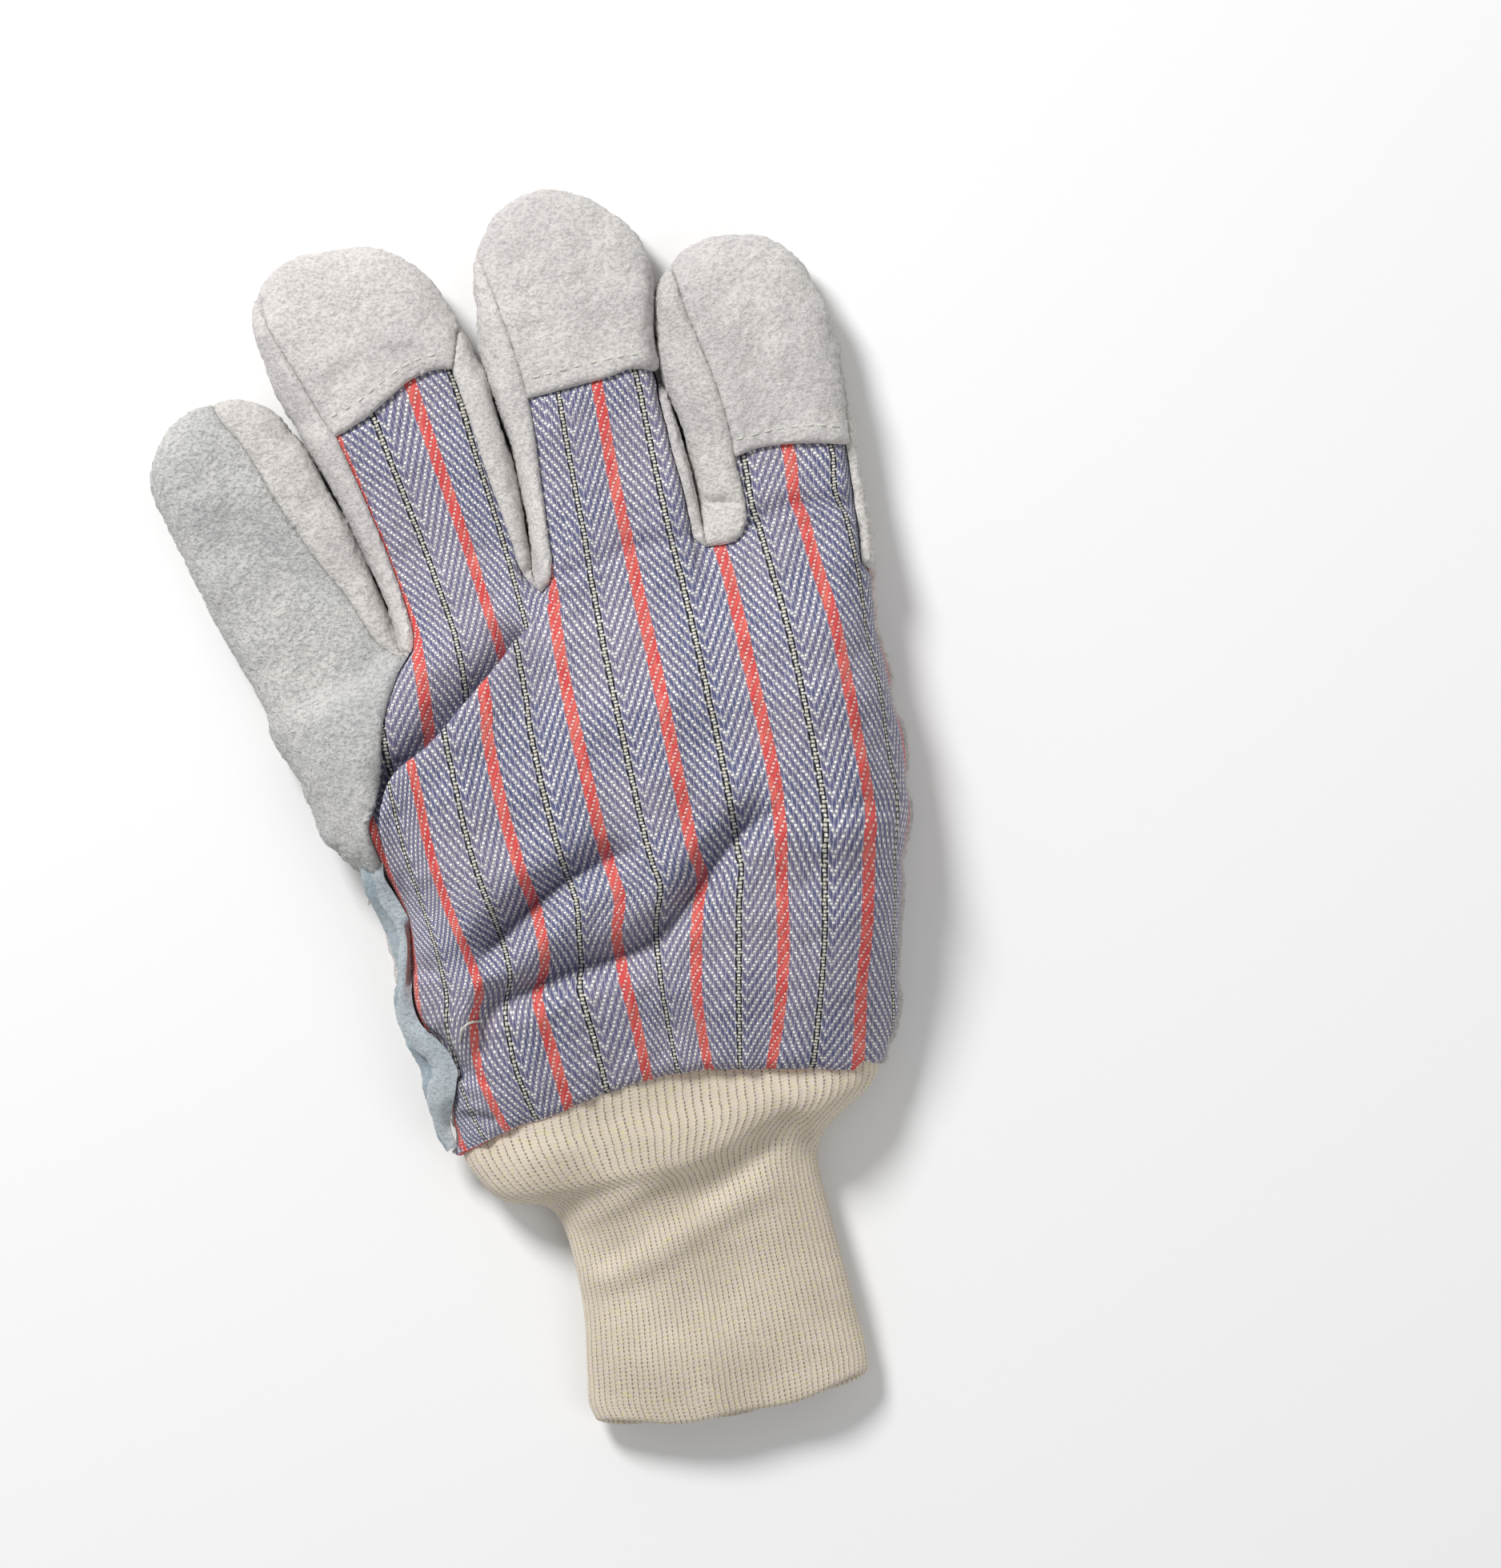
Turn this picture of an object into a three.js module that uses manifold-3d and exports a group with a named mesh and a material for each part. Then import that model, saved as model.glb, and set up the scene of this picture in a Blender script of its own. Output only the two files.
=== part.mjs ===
// Leather palm work glove for the right hand, lying on its palm with the back of the hand up.
// Millimetres. +Y points to the fingertips, +X to the little finger and +Z up off the back of the hand.
// Every hollow form is a flattened tube lofted through the sections of a table. The outer tubes less
// the inner tubes are one leather shell, which is then cut along its seams into the sewn pieces.
import * as THREE from "three";
import { mergeVertices } from "three/addons/utils/BufferGeometryUtils.js";
import Module from "manifold-3d";

const wasm = await Module();
wasm.setup();

// Driving dimensions
const LEATHER = 1.4; // thickness of the split leather and of the cotton back
const KNIT = 2.2; // thickness of the ribbed knit
const SEAM_GAP = 0.3; // clear space between neighbouring pieces
const SQUARENESS = 2.5; // superellipse exponent of a flattened tube's section
const SETTLE = 1.3; // how much further a tube reaches down from its edge than up, before the floor stops it
const THUMB_TOP = 12.5; // height of the folded thumb
const PALM_CLEARANCE = 1.3; // space between the folded thumb and the palm draped over it
const DRAPE_START = 5; // how far past the thumb the palm starts to come down to the floor
const DRAPE_REACH = 23; // how far past the thumb it lies on the floor
const WELT_WIDTH = 2.6; // width of the welt across the base of the middle and ring fingers
const THUMB_SEAM_HEIGHT = 6.2; // where the two thumb pieces meet
const FINGER_EDGE = 7.5; // height of the outline along the lying fingers
const FINGERS_START = 50; // where the split between back and palm starts to follow the fingers in Y
const BASE_SHARE = 0.7; // how much of the drape the split between back and palm takes up over the palm
const ROOTS = { start: 25, end: 45 }; // where that share grows to all of it, in Y
const REACH = { low: -5, high: 60 }; // heights that clear the whole glove

// Clean-up of the cut pieces
const SHORT_EDGE = 0.15; // an edge shorter than this is closed up
const FLATNESS = 0.03; // a corner that stands out less than this from a straight edge or a flat face goes
const SLIVER = 0.02; // a triangle lower than this above its longest side is a sliver
const SAME_WAY = 0.7; // least cosine between a face's directions before and after
const PASSES = 12;
const CENTRE = { x: 1.75, y: 1.85 }; // middle of the glove's plan in the frame of the tables below

// Sections of the tubes, each table running towards the fingertips. left and right are the two outline
// points in plan, edge the height of the outline there, and top the height of the crown between them.
// under is the height of the underside, where it isn't worked out from the crown.
const HAND_SECTIONS = [
  { left: [-31, -70], right: [54, -70], edge: [8, 7], top: 18 },
  { left: [-33.5, -61], right: [60, -59], edge: [9, 7], top: 20 },
  { left: [-33.8, -52], right: [63.3, -52], edge: [10.5, 7.5], top: 23 },
  { left: [-34, -45], right: [65, -45], edge: [11.5, 7.5], top: 25.5 },
  { left: [-36.5, -37], right: [66.7, -37], edge: [12, 7.5], top: 28 },
  { left: [-38, -29], right: [68.6, -29], edge: [12, 8], top: 29 },
  { left: [-36.6, -21], right: [70.4, -21], edge: [12, 8], top: 29.5 },
  { left: [-37.2, -13], right: [72.6, -13], edge: [12, 8.5], top: 30.5 },
  { left: [-39.5, -5], right: [74.2, -5], edge: [12, 8.5], top: 31 },
  { left: [-46.5, 2], right: [74.6, 3], edge: [11, 8.5], top: 31 },
  { left: [-49, 11], right: [74.4, 11], edge: [10, 8.5], top: 30.5 },
  { left: [-52, 19], right: [74, 20], edge: [9, 8.5], top: 29.5 },
  { left: [-54.5, 26], right: [73.4, 30], edge: [8, 8.5], top: 27 },
  { left: [-56.2, 31], right: [73.4, 40], edge: [8, 8], top: 25 },
  { left: [-57, 34], right: [74, 48], edge: [8, 8], top: 22.5 },
  { left: [-57, 36], right: [74, 51], edge: [8, 8], top: 18.5 },
];
const INDEX_SECTIONS = [
  { left: [-46, 10], right: [-24, 16], edge: [15, 18], top: 21, under: 14 },
  { left: [-54.6, 26], right: [-25.5, 33], edge: [8, 9], top: 19.5 },
  { left: [-58, 36.5], right: [-27, 44], edge: [7.5, 8.5], top: 17.5 },
  { left: [-62, 48], right: [-29.6, 56], edge: [7.5, 7.5], top: 16 },
  { left: [-66, 60], right: [-33, 69], edge: [7.5, 7.5], top: 15.5 },
  { left: [-70, 73.5], right: [-37, 82], edge: [7, 7], top: 15 },
  { left: [-73, 84.5], right: [-40, 90], edge: [6.5, 6.5], top: 14 },
  { left: [-71.5, 91.5], right: [-43.5, 95.8], edge: [6.5, 6.5], top: 12.5 },
  { left: [-68, 96.8], right: [-47.5, 99.2], edge: [6, 6], top: 10.5 },
  { left: [-62.5, 99.8], right: [-52.5, 101], edge: [5.5, 5.5], top: 7.5 },
];
const MIDDLE_SECTIONS = [
  { left: [-21, 22], right: [-2, 26], edge: [19, 19], top: 22, under: 18 },
  { left: [-25.6, 35], right: [1.8, 38.5], edge: [14, 16], top: 22.5, under: 14 },
  { left: [-26.4, 46], right: [3, 50], edge: [8.5, 11], top: 19, under: 5 },
  { left: [-28.2, 56.5], right: [3.6, 62], edge: [7.5, 8], top: 17 },
  { left: [-32.2, 70.5], right: [3.4, 77], edge: [7.5, 7.5], top: 16.5 },
  { left: [-36.3, 83], right: [1.7, 91], edge: [7.5, 7.5], top: 16.5 },
  { left: [-42, 98], right: [-1.5, 103.5], edge: [7, 7], top: 16 },
  { left: [-45.2, 109], right: [-4.8, 113.5], edge: [7, 7], top: 15 },
  { left: [-45.8, 117], right: [-8.5, 120.5], edge: [6.5, 6.5], top: 13.5 },
  { left: [-42.5, 123.6], right: [-14, 125.6], edge: [6, 6], top: 11 },
  { left: [-36, 127.6], right: [-21, 128.2], edge: [5.5, 5.5], top: 7.5 },
];
const RING_SECTIONS = [
  { left: [8, 24], right: [36, 28], edge: [19, 19], top: 22, under: 18 },
  { left: [4.8, 37], right: [40, 41], edge: [17, 16], top: 24, under: 15.2 },
  { left: [4.4, 49], right: [40.6, 53], edge: [13, 12.5], top: 22, under: 14.5 },
  { left: [4.3, 61], right: [40.4, 63], edge: [8.5, 8.5], top: 18.5, under: 6 },
  { left: [4.1, 76], right: [39.2, 78], edge: [7.5, 7.5], top: 16.5 },
  { left: [2.3, 91], right: [37.6, 92], edge: [7.5, 7.5], top: 16.5 },
  { left: [0.9, 103], right: [38.6, 104], edge: [7, 7], top: 16 },
  { left: [1.2, 113.5], right: [39.4, 113.5], edge: [7, 7], top: 15 },
  { left: [3.4, 122.5], right: [37, 121.5], edge: [6.5, 6.5], top: 13.5 },
  { left: [8, 129], right: [31.5, 127.8], edge: [6, 6], top: 11 },
  { left: [13.5, 132.6], right: [24.5, 132.2], edge: [5.5, 5.5], top: 7.5 },
];
const LITTLE_SECTIONS = [
  { left: [47, 31], right: [68, 31], edge: [18, 15], top: 20, under: 16 },
  { left: [42, 44.5], right: [73.4, 44.5], edge: [14, 8.5], top: 20.5, under: 9 },
  { left: [41.8, 54], right: [75.5, 54], edge: [10, 7.5], top: 18, under: 3 },
  { left: [41.2, 64], right: [75.8, 64], edge: [7.5, 7.5], top: 16.5 },
  { left: [39.8, 77], right: [76, 77], edge: [7.5, 7.5], top: 16 },
  { left: [38.4, 91], right: [75.6, 90], edge: [7, 7], top: 15.5 },
  { left: [39.7, 103], right: [74, 101], edge: [7, 7], top: 14.5 },
  { left: [42.6, 110.8], right: [71, 107.6], edge: [6.5, 6.5], top: 13 },
  { left: [47, 115], right: [66, 113], edge: [6, 6], top: 10.5 },
  { left: [52, 117], right: [60, 116.4], edge: [5.5, 5.5], top: 7.5 },
];
// The thumb lies under the palm and points across it: left is its edge towards the wrist.
const THUMB_SECTIONS = [
  { left: [-38, 5], right: [-33, -53], edge: [6.5, 6.5], top: THUMB_TOP },
  { left: [-36, 10], right: [-17, -47.5], edge: [6, 6], top: THUMB_TOP },
  { left: [-32, 14], right: [0, -38], edge: [6, 6], top: THUMB_TOP },
  { left: [-20, 20], right: [12, -27.5], edge: [6, 6], top: THUMB_TOP },
  { left: [-4, 28.5], right: [24, -12.5], edge: [6, 6], top: THUMB_TOP },
  { left: [8, 36], right: [33, -1], edge: [6, 6], top: THUMB_TOP },
  { left: [19, 42.5], right: [40.2, 7.5], edge: [6, 6], top: THUMB_TOP },
  { left: [27.5, 45.6], right: [45.2, 16.5], edge: [6, 6], top: 12 },
  { left: [35, 44], right: [47.2, 25.5], edge: [5.5, 5.5], top: 10 },
  { left: [41, 40.6], right: [46.4, 32], edge: [5, 5], top: 7 },
];
// From the wearer's arm to the hand. A section may bow towards the arm by the given amount.
const CUFF_SECTIONS = [
  { left: [-15, -125.3], right: [45, -125.3], edge: [5.5, 5.5], top: 11.5, bow: 4 },
  { left: [-14.5, -117], right: [44.6, -117], edge: [6, 6], top: 12.5, bow: 2 },
  { left: [-13, -105], right: [43.2, -106], edge: [6, 6], top: 13 },
  { left: [-13, -93], right: [42.2, -93], edge: [6, 6], top: 13.5 },
  { left: [-14.3, -84.5], right: [41.6, -82], edge: [6, 6], top: 14.5 },
  { left: [-17, -79.5], right: [42.2, -76], edge: [6.5, 6], top: 17 },
  { left: [-25.5, -76.5], right: [47, -71], edge: [7, 6.5], top: 20 },
  { left: [-31, -69.5], right: [56, -65], edge: [8, 6.5], top: 21 },
  { left: [-33.5, -63], right: [60, -60], edge: [9, 7], top: 20.5 },
  { left: [-33.5, -54], right: [62, -51], edge: [9.5, 7], top: 21.5 },
  { left: [-33, -50], right: [61, -47], edge: [9.5, 7], top: 21.5 },
];
// The seam allowance along the thumb side: left is its raw edge, right the seam it stands out of.
const HEM_SECTIONS = [
  { left: [-36.8, -60.5], right: [-31, -59], edge: [9.5, 9.5], top: 10.7 },
  { left: [-38.2, -53], right: [-30.5, -53], edge: [11, 10.5], top: 12 },
  { left: [-38.6, -46], right: [-31, -46], edge: [10, 11.5], top: 12 },
  { left: [-40, -38], right: [-33, -38], edge: [13, 12], top: 13.8 },
  { left: [-41.2, -31], right: [-35, -30], edge: [12.5, 12], top: 13.5 },
  { left: [-39.8, -20], right: [-33.5, -20], edge: [9.5, 12], top: 12 },
  { left: [-42, -12], right: [-34, -13], edge: [11, 12], top: 12.8 },
  { left: [-43.5, -6.5], right: [-35, -8], edge: [12.5, 12], top: 13.5 },
  { left: [-45.5, -2], right: [-38, -4], edge: [11.5, 11.5], top: 12.7 },
];

// Folds of the cotton back and the cuff: a smooth rise (or a dip, where it is negative) of the
// given height and half width along a line, with the two ends tapering off.
const FOLDS = [
  { rise: 3, width: 6, line: [[-41, 5], [-30, 14], [-17, 22], [-4, 33], [3, 41]] },
  { rise: -4, width: 5, line: [[-40, 16], [-30, 22], [-18, 29], [-8, 38], [-2, 46]] },
  { rise: -4.5, width: 6, line: [[-33, -24], [-15, -21], [-5, -13], [8, -9], [22, -5]] },
  { rise: 2.5, width: 6, line: [[-34, -38], [-20, -34], [-8, -27], [6, -20], [20, -13]] },
  { rise: -4, width: 6, line: [[2, -33], [15, -28], [25, -20], [36, -9], [50, -3]] },
  { rise: 1.3, width: 4, line: [[-12, -98], [10, -87], [30, -79], [42, -75]] },
  { rise: -1.2, width: 3.5, line: [[-14, -86], [2, -83], [24, -74]] },
];

// Seam lines in plan
const CUFF_SEAM = [
  [-48, -67], [-36, -65.5], [-20, -61.5], [0, -58.5], [20, -56.5], [42, -60], [57, -62.3], [72, -61],
];
const CLOTH_OUTLINE = [
  [-48, -75], [-48, -3.5], [-38.5, -3], [-39.5, 5], [-38.5, 10], [-35, 20], [-32, 30], [-27.5, 39],
  [-26.5, 43], [-25.5, 48], [-25.8, 60], [-28.5, 74], [-32.5, 89], [-20, 95], [-12, 98.8], [-5.5, 99],
  [-4, 88], [1, 55], [3, 44], [8, 51], [9, 80], [9, 90], [27, 91.2], [37, 91],
  [38, 70], [39.5, 55], [41.5, 53], [47.5, 53], [50.5, 57], [50, 70], [60, 71], [74, 68.5],
  [73.6, 50], [73, 43], [82, 41], [82, -75],
];
const INDEX_BACK_OUTLINE = [
  [-27.8, 39.5], [-28.3, 41], [-31.7, 45], [-40.5, 63], [-47, 77], [-52, 90], [-57, 99], [-57, 110],
  [-85, 110], [-60, -2], [-38.5, -2.5], [-39.5, 5], [-38.5, 10], [-35, 20], [-32, 30],
];
const MIDDLE_CAP_OUTLINE = [
  [-32.5, 89], [-20, 95], [-12, 98.8], [-5.5, 99], [-0.4, 98.6], [-0.2, 104], [0, 140], [-60, 140],
  [-43, 117], [-41, 110], [-35, 94],
];
const RING_CAP_OUTLINE = [
  [9, 90], [27, 91.2], [38.1, 91], [39.1, 104], [41, 111], [41, 140], [-2, 140], [6, 112], [8.5, 96],
];
const LITTLE_CAP_OUTLINE = [
  [50, 70], [60, 71], [74, 68.5], [74.4, 95], [90, 110], [80, 130], [30, 130], [45, 104], [49, 85],
  [50, 76],
];
const WELT_LINE = [[-26.3, 41.5], [-18, 43.2], [-8, 43], [4, 42.5], [16, 44], [27, 46], [34, 46.8]];
const MIDDLE_FRONT_OUTLINE = [
  [-26.5, 40], [-18, 44], [-8, 43], [3.6, 41], [3.7, 50], [3.8, 62], [3.6, 78], [1.9, 91],
  [-0.4, 98], [0, 140], [-50, 140], [-42.5, 95], [-39.4, 88.5], [-36.6, 81], [-32.7, 69], [-28.9, 55],
  [-27.3, 44],
];
const RING_FRONT_OUTLINE = [
  [3.6, 41], [16, 42.5], [27, 44.5], [37, 45.5], [41.2, 51], [40.8, 62], [39.4, 78], [37.9, 91],
  [39.1, 104], [41, 111], [41, 140], [-1, 140], [-0.4, 98], [1.9, 91], [3.6, 78], [3.8, 62], [3.7, 50],
];
const THUMB_BACK_OUTLINE = [
  [-60, -70], [60, -70], [60, 33], [40, 33], [35, 38], [27, 39.6], [20, 37.5], [9, 31], [-2, 23.5],
  [-17, 16], [-24, 30], [-60, 30],
];
const THUMB_SIDE_OUTLINE = [[-55, -57], [-24, -49.5], [-24, 17], [-38, 9], [-42, -3], [-55, -3]];

const AROUND = { hand: 36, finger: 22, thumb: 22, cuff: 30, hem: 8 };

// Materials
const MATERIALS = {
  suede: { color: 0xcfcdc6, roughness: 0.95, metalness: 0 },
  cotton: { color: 0x7f82a0, roughness: 0.9, metalness: 0 },
  knit: { color: 0xdad2bb, roughness: 0.95, metalness: 0 },
};

// Distance from a point in plan to a polyline, closed or open.
function distanceToLine(x, y, line, closed) {
  let nearest = Infinity;
  for (let i = closed ? 0 : 1; i < line.length; i++) {
    const [ax, ay] = line[(i + line.length - 1) % line.length];
    const [bx, by] = line[i];
    const along = ((x - ax) * (bx - ax) + (y - ay) * (by - ay)) / ((bx - ax) ** 2 + (by - ay) ** 2);
    const t = THREE.MathUtils.clamp(along, 0, 1);
    nearest = Math.min(nearest, Math.hypot(x - ax - t * (bx - ax), y - ay - t * (by - ay)));
  }
  return nearest;
}

function isInside(x, y, outline) {
  let inside = false;
  outline.forEach(([bx, by], i) => {
    const [ax, ay] = outline[(i + outline.length - 1) % outline.length];
    if (by > y !== ay > y && x < ((ax - bx) * (y - by)) / (ay - by) + bx) inside = !inside;
  });
  return inside;
}

// Rise of the folds above the smooth crown at a point in plan.
function foldRise(x, y) {
  return FOLDS.reduce((sum, { rise, width, line }) => {
    const d = distanceToLine(x, y, line, false) / width;
    return sum + rise * Math.exp(-d * d);
  }, 0);
}

// Height of the underside of the palm where it is draped over the folded thumb.
const THUMB_OUTLINE = [
  ...THUMB_SECTIONS.map((row) => row.left),
  ...THUMB_SECTIONS.map((row) => row.right).reverse(),
];
function drapeHeight(x, y) {
  const away = isInside(x, y, THUMB_OUTLINE) ? 0 : distanceToLine(x, y, THUMB_OUTLINE, true);
  const fall = 1 - THREE.MathUtils.smoothstep(away, DRAPE_START, DRAPE_REACH);
  const root = THREE.MathUtils.smoothstep(x, -34, -16);
  return (THUMB_TOP + PALM_CLEARANCE) * fall * root;
}

// A flattened tube through the sections of a table, drawn in by inset all round. A hollow stops one
// section short of the closed end, and runs on past the first section where that end is open.
function tube(sections, around, { inset = 0, draped = false, folded = false, openEnd = false } = {}) {
  const rows = inset > 0 ? sections.slice(0, -1) : [...sections];
  if (openEnd) {
    const pushed = ([x, y]) => [x, y - 3];
    rows.unshift({ ...rows[0], left: pushed(rows[0].left), right: pushed(rows[0].right) });
  }
  const points = [];
  for (const { left, right, edge, top, bow = 0, under: given } of rows) {
    const width = Math.hypot(right[0] - left[0], right[1] - left[1]);
    const middle = (edge[0] + edge[1]) / 2;
    const under = given ?? middle - SETTLE * (top - middle);
    for (let k = 0; k < around; k++) {
      const angle = (2 * Math.PI * k) / around;
      const side = -Math.cos(angle);
      const swell = Math.abs(Math.sin(angle)) ** (2 / SQUARENESS);
      const acrossHalf = 0.5 * Math.sign(side) * Math.abs(side) ** (2 / SQUARENESS);
      const u = 0.5 + acrossHalf * (1 - (2 * inset) / width);
      const x = THREE.MathUtils.lerp(left[0], right[0], u);
      const y = THREE.MathUtils.lerp(left[1], right[1], u) - bow * (1 - (2 * u - 1) ** 2);
      const edgeHeight = THREE.MathUtils.lerp(edge[0], edge[1], u);
      let z = edgeHeight;
      if (k > 0 && k < around / 2) {
        z += (top - inset - edgeHeight) * swell + (folded ? foldRise(x, y) * swell : 0);
      } else if (k > around / 2) {
        z -= (edgeHeight - under - inset) * swell;
      }
      const lowest = Math.max(0, inset) + (draped ? drapeHeight(x, y) : 0);
      points.push(x, y, Math.max(z, lowest));
    }
  }
  const index = [];
  const lastRow = (rows.length - 1) * around;
  for (let k = 0; k < around; k++) {
    const next = (k + 1) % around;
    for (let row = 0; row + 1 < rows.length; row++) {
      const a = row * around;
      index.push(a + k, a + next, a + around + next, a + k, a + around + next, a + around + k);
    }
  }
  for (let k = 0; k < around / 2; k++) {
    const [a, b, c, d] = [k, k + 1, around - k - 1, (around - k) % around];
    if (b !== c) index.push(a, c, b, lastRow + a, lastRow + b, lastRow + c);
    if (a !== d) index.push(a, d, c, lastRow + a, lastRow + c, lastRow + d);
  }
  return solidFrom(points, index);
}

function solidFrom(positions, index) {
  return new wasm.Manifold(
    new wasm.Mesh({
      numProp: 3,
      vertProperties: new Float32Array(positions),
      triVerts: new Uint32Array(index),
    }),
  );
}

function solidFromGeometry(geometry) {
  geometry.deleteAttribute("normal");
  geometry.deleteAttribute("uv");
  const merged = mergeVertices(geometry, 1e-4);
  return solidFrom(merged.attributes.position.array, merged.index.array);
}

// An outline in plan moved outwards by grow at every corner.
function grown(outline, grow) {
  const turning = THREE.ShapeUtils.area(outline.map(([x, y]) => new THREE.Vector2(x, y)));
  const outwards = Math.sign(turning) * grow;
  return outline.map(([x, y], i) => {
    const [px, py] = outline[(i + outline.length - 1) % outline.length];
    const [nx, ny] = outline[(i + 1) % outline.length];
    const before = new THREE.Vector2(y - py, px - x).normalize();
    const after = new THREE.Vector2(ny - y, x - nx).normalize();
    const sum = before.clone().add(after);
    const scale = (2 * outwards) / Math.max(sum.lengthSq(), 0.6);
    return [x + sum.x * scale, y + sum.y * scale];
  });
}

// A tall block over an outline in plan.
function block(outline, grow = 0, low = REACH.low, high = REACH.high) {
  const shape = new THREE.Shape(grown(outline, grow).map(([x, y]) => new THREE.Vector2(x, y)));
  const geometry = new THREE.ExtrudeGeometry(shape, { depth: high - low, bevelEnabled: false });
  return solidFromGeometry(geometry.translate(0, 0, low));
}

// A band of the given width along a line in plan, as an outline.
function band(line, width) {
  const side = (sign) =>
    line.map(([x, y], i) => {
      const [px, py] = line[Math.max(i - 1, 0)];
      const [nx, ny] = line[Math.min(i + 1, line.length - 1)];
      const across = new THREE.Vector2(ny - py, px - nx).normalize().multiplyScalar((sign * width) / 2);
      return [x + across.x, y + across.y];
    });
  return [...side(1), ...side(-1).reverse()];
}

// Height half way between the two layers of the glove, which the back pieces stay above.
function middleHeight(x, y) {
  const rows = HAND_SECTIONS;
  let i = 0;
  while (i < rows.length - 2 && y > (rows[i + 1].left[1] + rows[i + 1].right[1]) / 2) i++;
  const [from, to] = [rows[i], rows[i + 1]].map((row) => (row.left[1] + row.right[1]) / 2);
  const t = THREE.MathUtils.clamp((y - from) / (to - from), 0, 1);
  const lerp = THREE.MathUtils.lerp;
  const left = lerp(rows[i].left[0], rows[i + 1].left[0], t);
  const right = lerp(rows[i].right[0], rows[i + 1].right[0], t);
  const u = THREE.MathUtils.clamp((x - left) / (right - left), 0, 1);
  const [edgeLeft, edgeRight] = [0, 1].map((side) => lerp(rows[i].edge[side], rows[i + 1].edge[side], t));
  const edge = lerp(edgeLeft, edgeRight, u);
  const settled = THREE.MathUtils.smoothstep(y, FINGERS_START, FINGERS_START + 10);
  const share = lerp(BASE_SHARE, 1, THREE.MathUtils.smoothstep(y, ROOTS.start, ROOTS.end));
  return lerp(edge, FINGER_EDGE, settled) + share * drapeHeight(x, y);
}

// Everything above the middle height, lowered by grow: a grid of squares under a flat top.
function upperHalf(grow) {
  const step = 8;
  const [columns, rows] = [22, 29];
  const [x0, y0] = [-88, -86];
  const lowered = 0.4 + grow;
  const points = [];
  for (const isTop of [false, true])
    for (let j = 0; j <= rows; j++)
      for (let i = 0; i <= columns; i++) {
        const [x, y] = [x0 + i * step, y0 + j * step];
        points.push(x, y, isTop ? REACH.high : middleHeight(x, y) - lowered);
      }
  const across = columns + 1;
  const layer = across * (rows + 1);
  const index = [];
  for (let j = 0; j < rows; j++)
    for (let i = 0; i < columns; i++) {
      const a = j * across + i;
      index.push(a, a + across, a + across + 1, a, a + across + 1, a + 1);
      const b = layer + a;
      index.push(b, b + across + 1, b + across, b, b + 1, b + across + 1);
    }
  const wall = (a, b) => index.push(a, b, layer + b, a, layer + b, layer + a);
  for (let i = 0; i < columns; i++) {
    wall(i, i + 1);
    wall(rows * across + i + 1, rows * across + i);
  }
  for (let j = 0; j < rows; j++) {
    wall((j + 1) * across, j * across);
    wall(j * across + columns, (j + 1) * across + columns);
  }
  return solidFrom(points, index);
}

function trianglesOf(solid) {
  const { numVert, triVerts, vertProperties, numProp } = solid.getMesh();
  const corner = (_, i) => new THREE.Vector3().fromArray(vertProperties, i * numProp);
  const positions = Array.from({ length: numVert }, corner);
  const threeOf = (_, t) => [...triVerts.slice(3 * t, 3 * t + 3)];
  const triangles = Array.from({ length: triVerts.length / 3 }, threeOf);
  return { positions, triangles };
}

// The largest of the bodies joined by shared edges. This drops the crumbs that a cut leaves at a seam.
function largestBody({ positions, triangles }) {
  const parent = triangles.map((_, t) => t);
  const find = (t) => {
    while (parent[t] !== t) t = parent[t];
    return t;
  };
  const onEdge = new Map();
  triangles.forEach(([a, b, c], t) => {
    for (const [from, to] of [[a, b], [b, c], [c, a]]) {
      const edge = Math.min(from, to) * positions.length + Math.max(from, to);
      if (onEdge.has(edge)) parent[find(t)] = find(onEdge.get(edge));
      onEdge.set(edge, t);
    }
  });
  const volume = new Map();
  triangles.forEach(([a, b, c], t) => {
    const cone = positions[a].dot(new THREE.Vector3().crossVectors(positions[b], positions[c])) / 6;
    volume.set(find(t), (volume.get(find(t)) ?? 0) + cone);
  });
  const keep = [...volume].sort((a, b) => b[1] - a[1])[0][0];
  return { positions, triangles: triangles.filter((_, t) => find(t) === keep) };
}

// Height of a triangle above its longest side.
function thinness(triangle) {
  const { a, b, c } = triangle;
  return (2 * triangle.getArea()) / Math.max(a.distanceTo(b), b.distanceTo(c), c.distanceTo(a));
}

// Whether the triangles round one corner stay sound when that corner moves onto its neighbour.
function canMoveOnto(positions, around, from, onto) {
  const length = positions[from].distanceTo(positions[onto]);
  return around.every((triangle) => {
    if (triangle.includes(onto)) return true;
    const [before, after] = [from, onto].map((corner) =>
      new THREE.Triangle(...triangle.map((i) => positions[i === from ? corner : i])),
    );
    const wasSliver = thinness(before) < SLIVER;
    if (thinness(after) < SLIVER && !(length < SLIVER && wasSliver)) return false;
    if (before.getArea() < SLIVER ** 2) return true;
    const plane = before.getPlane(new THREE.Plane());
    const isFlat = Math.abs(plane.distanceToPoint(positions[onto])) < FLATNESS;
    const isSameWay = plane.normal.dot(after.getNormal(new THREE.Vector3())) > SAME_WAY;
    return (isFlat || length < SHORT_EDGE) && isSameWay;
  });
}

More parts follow.
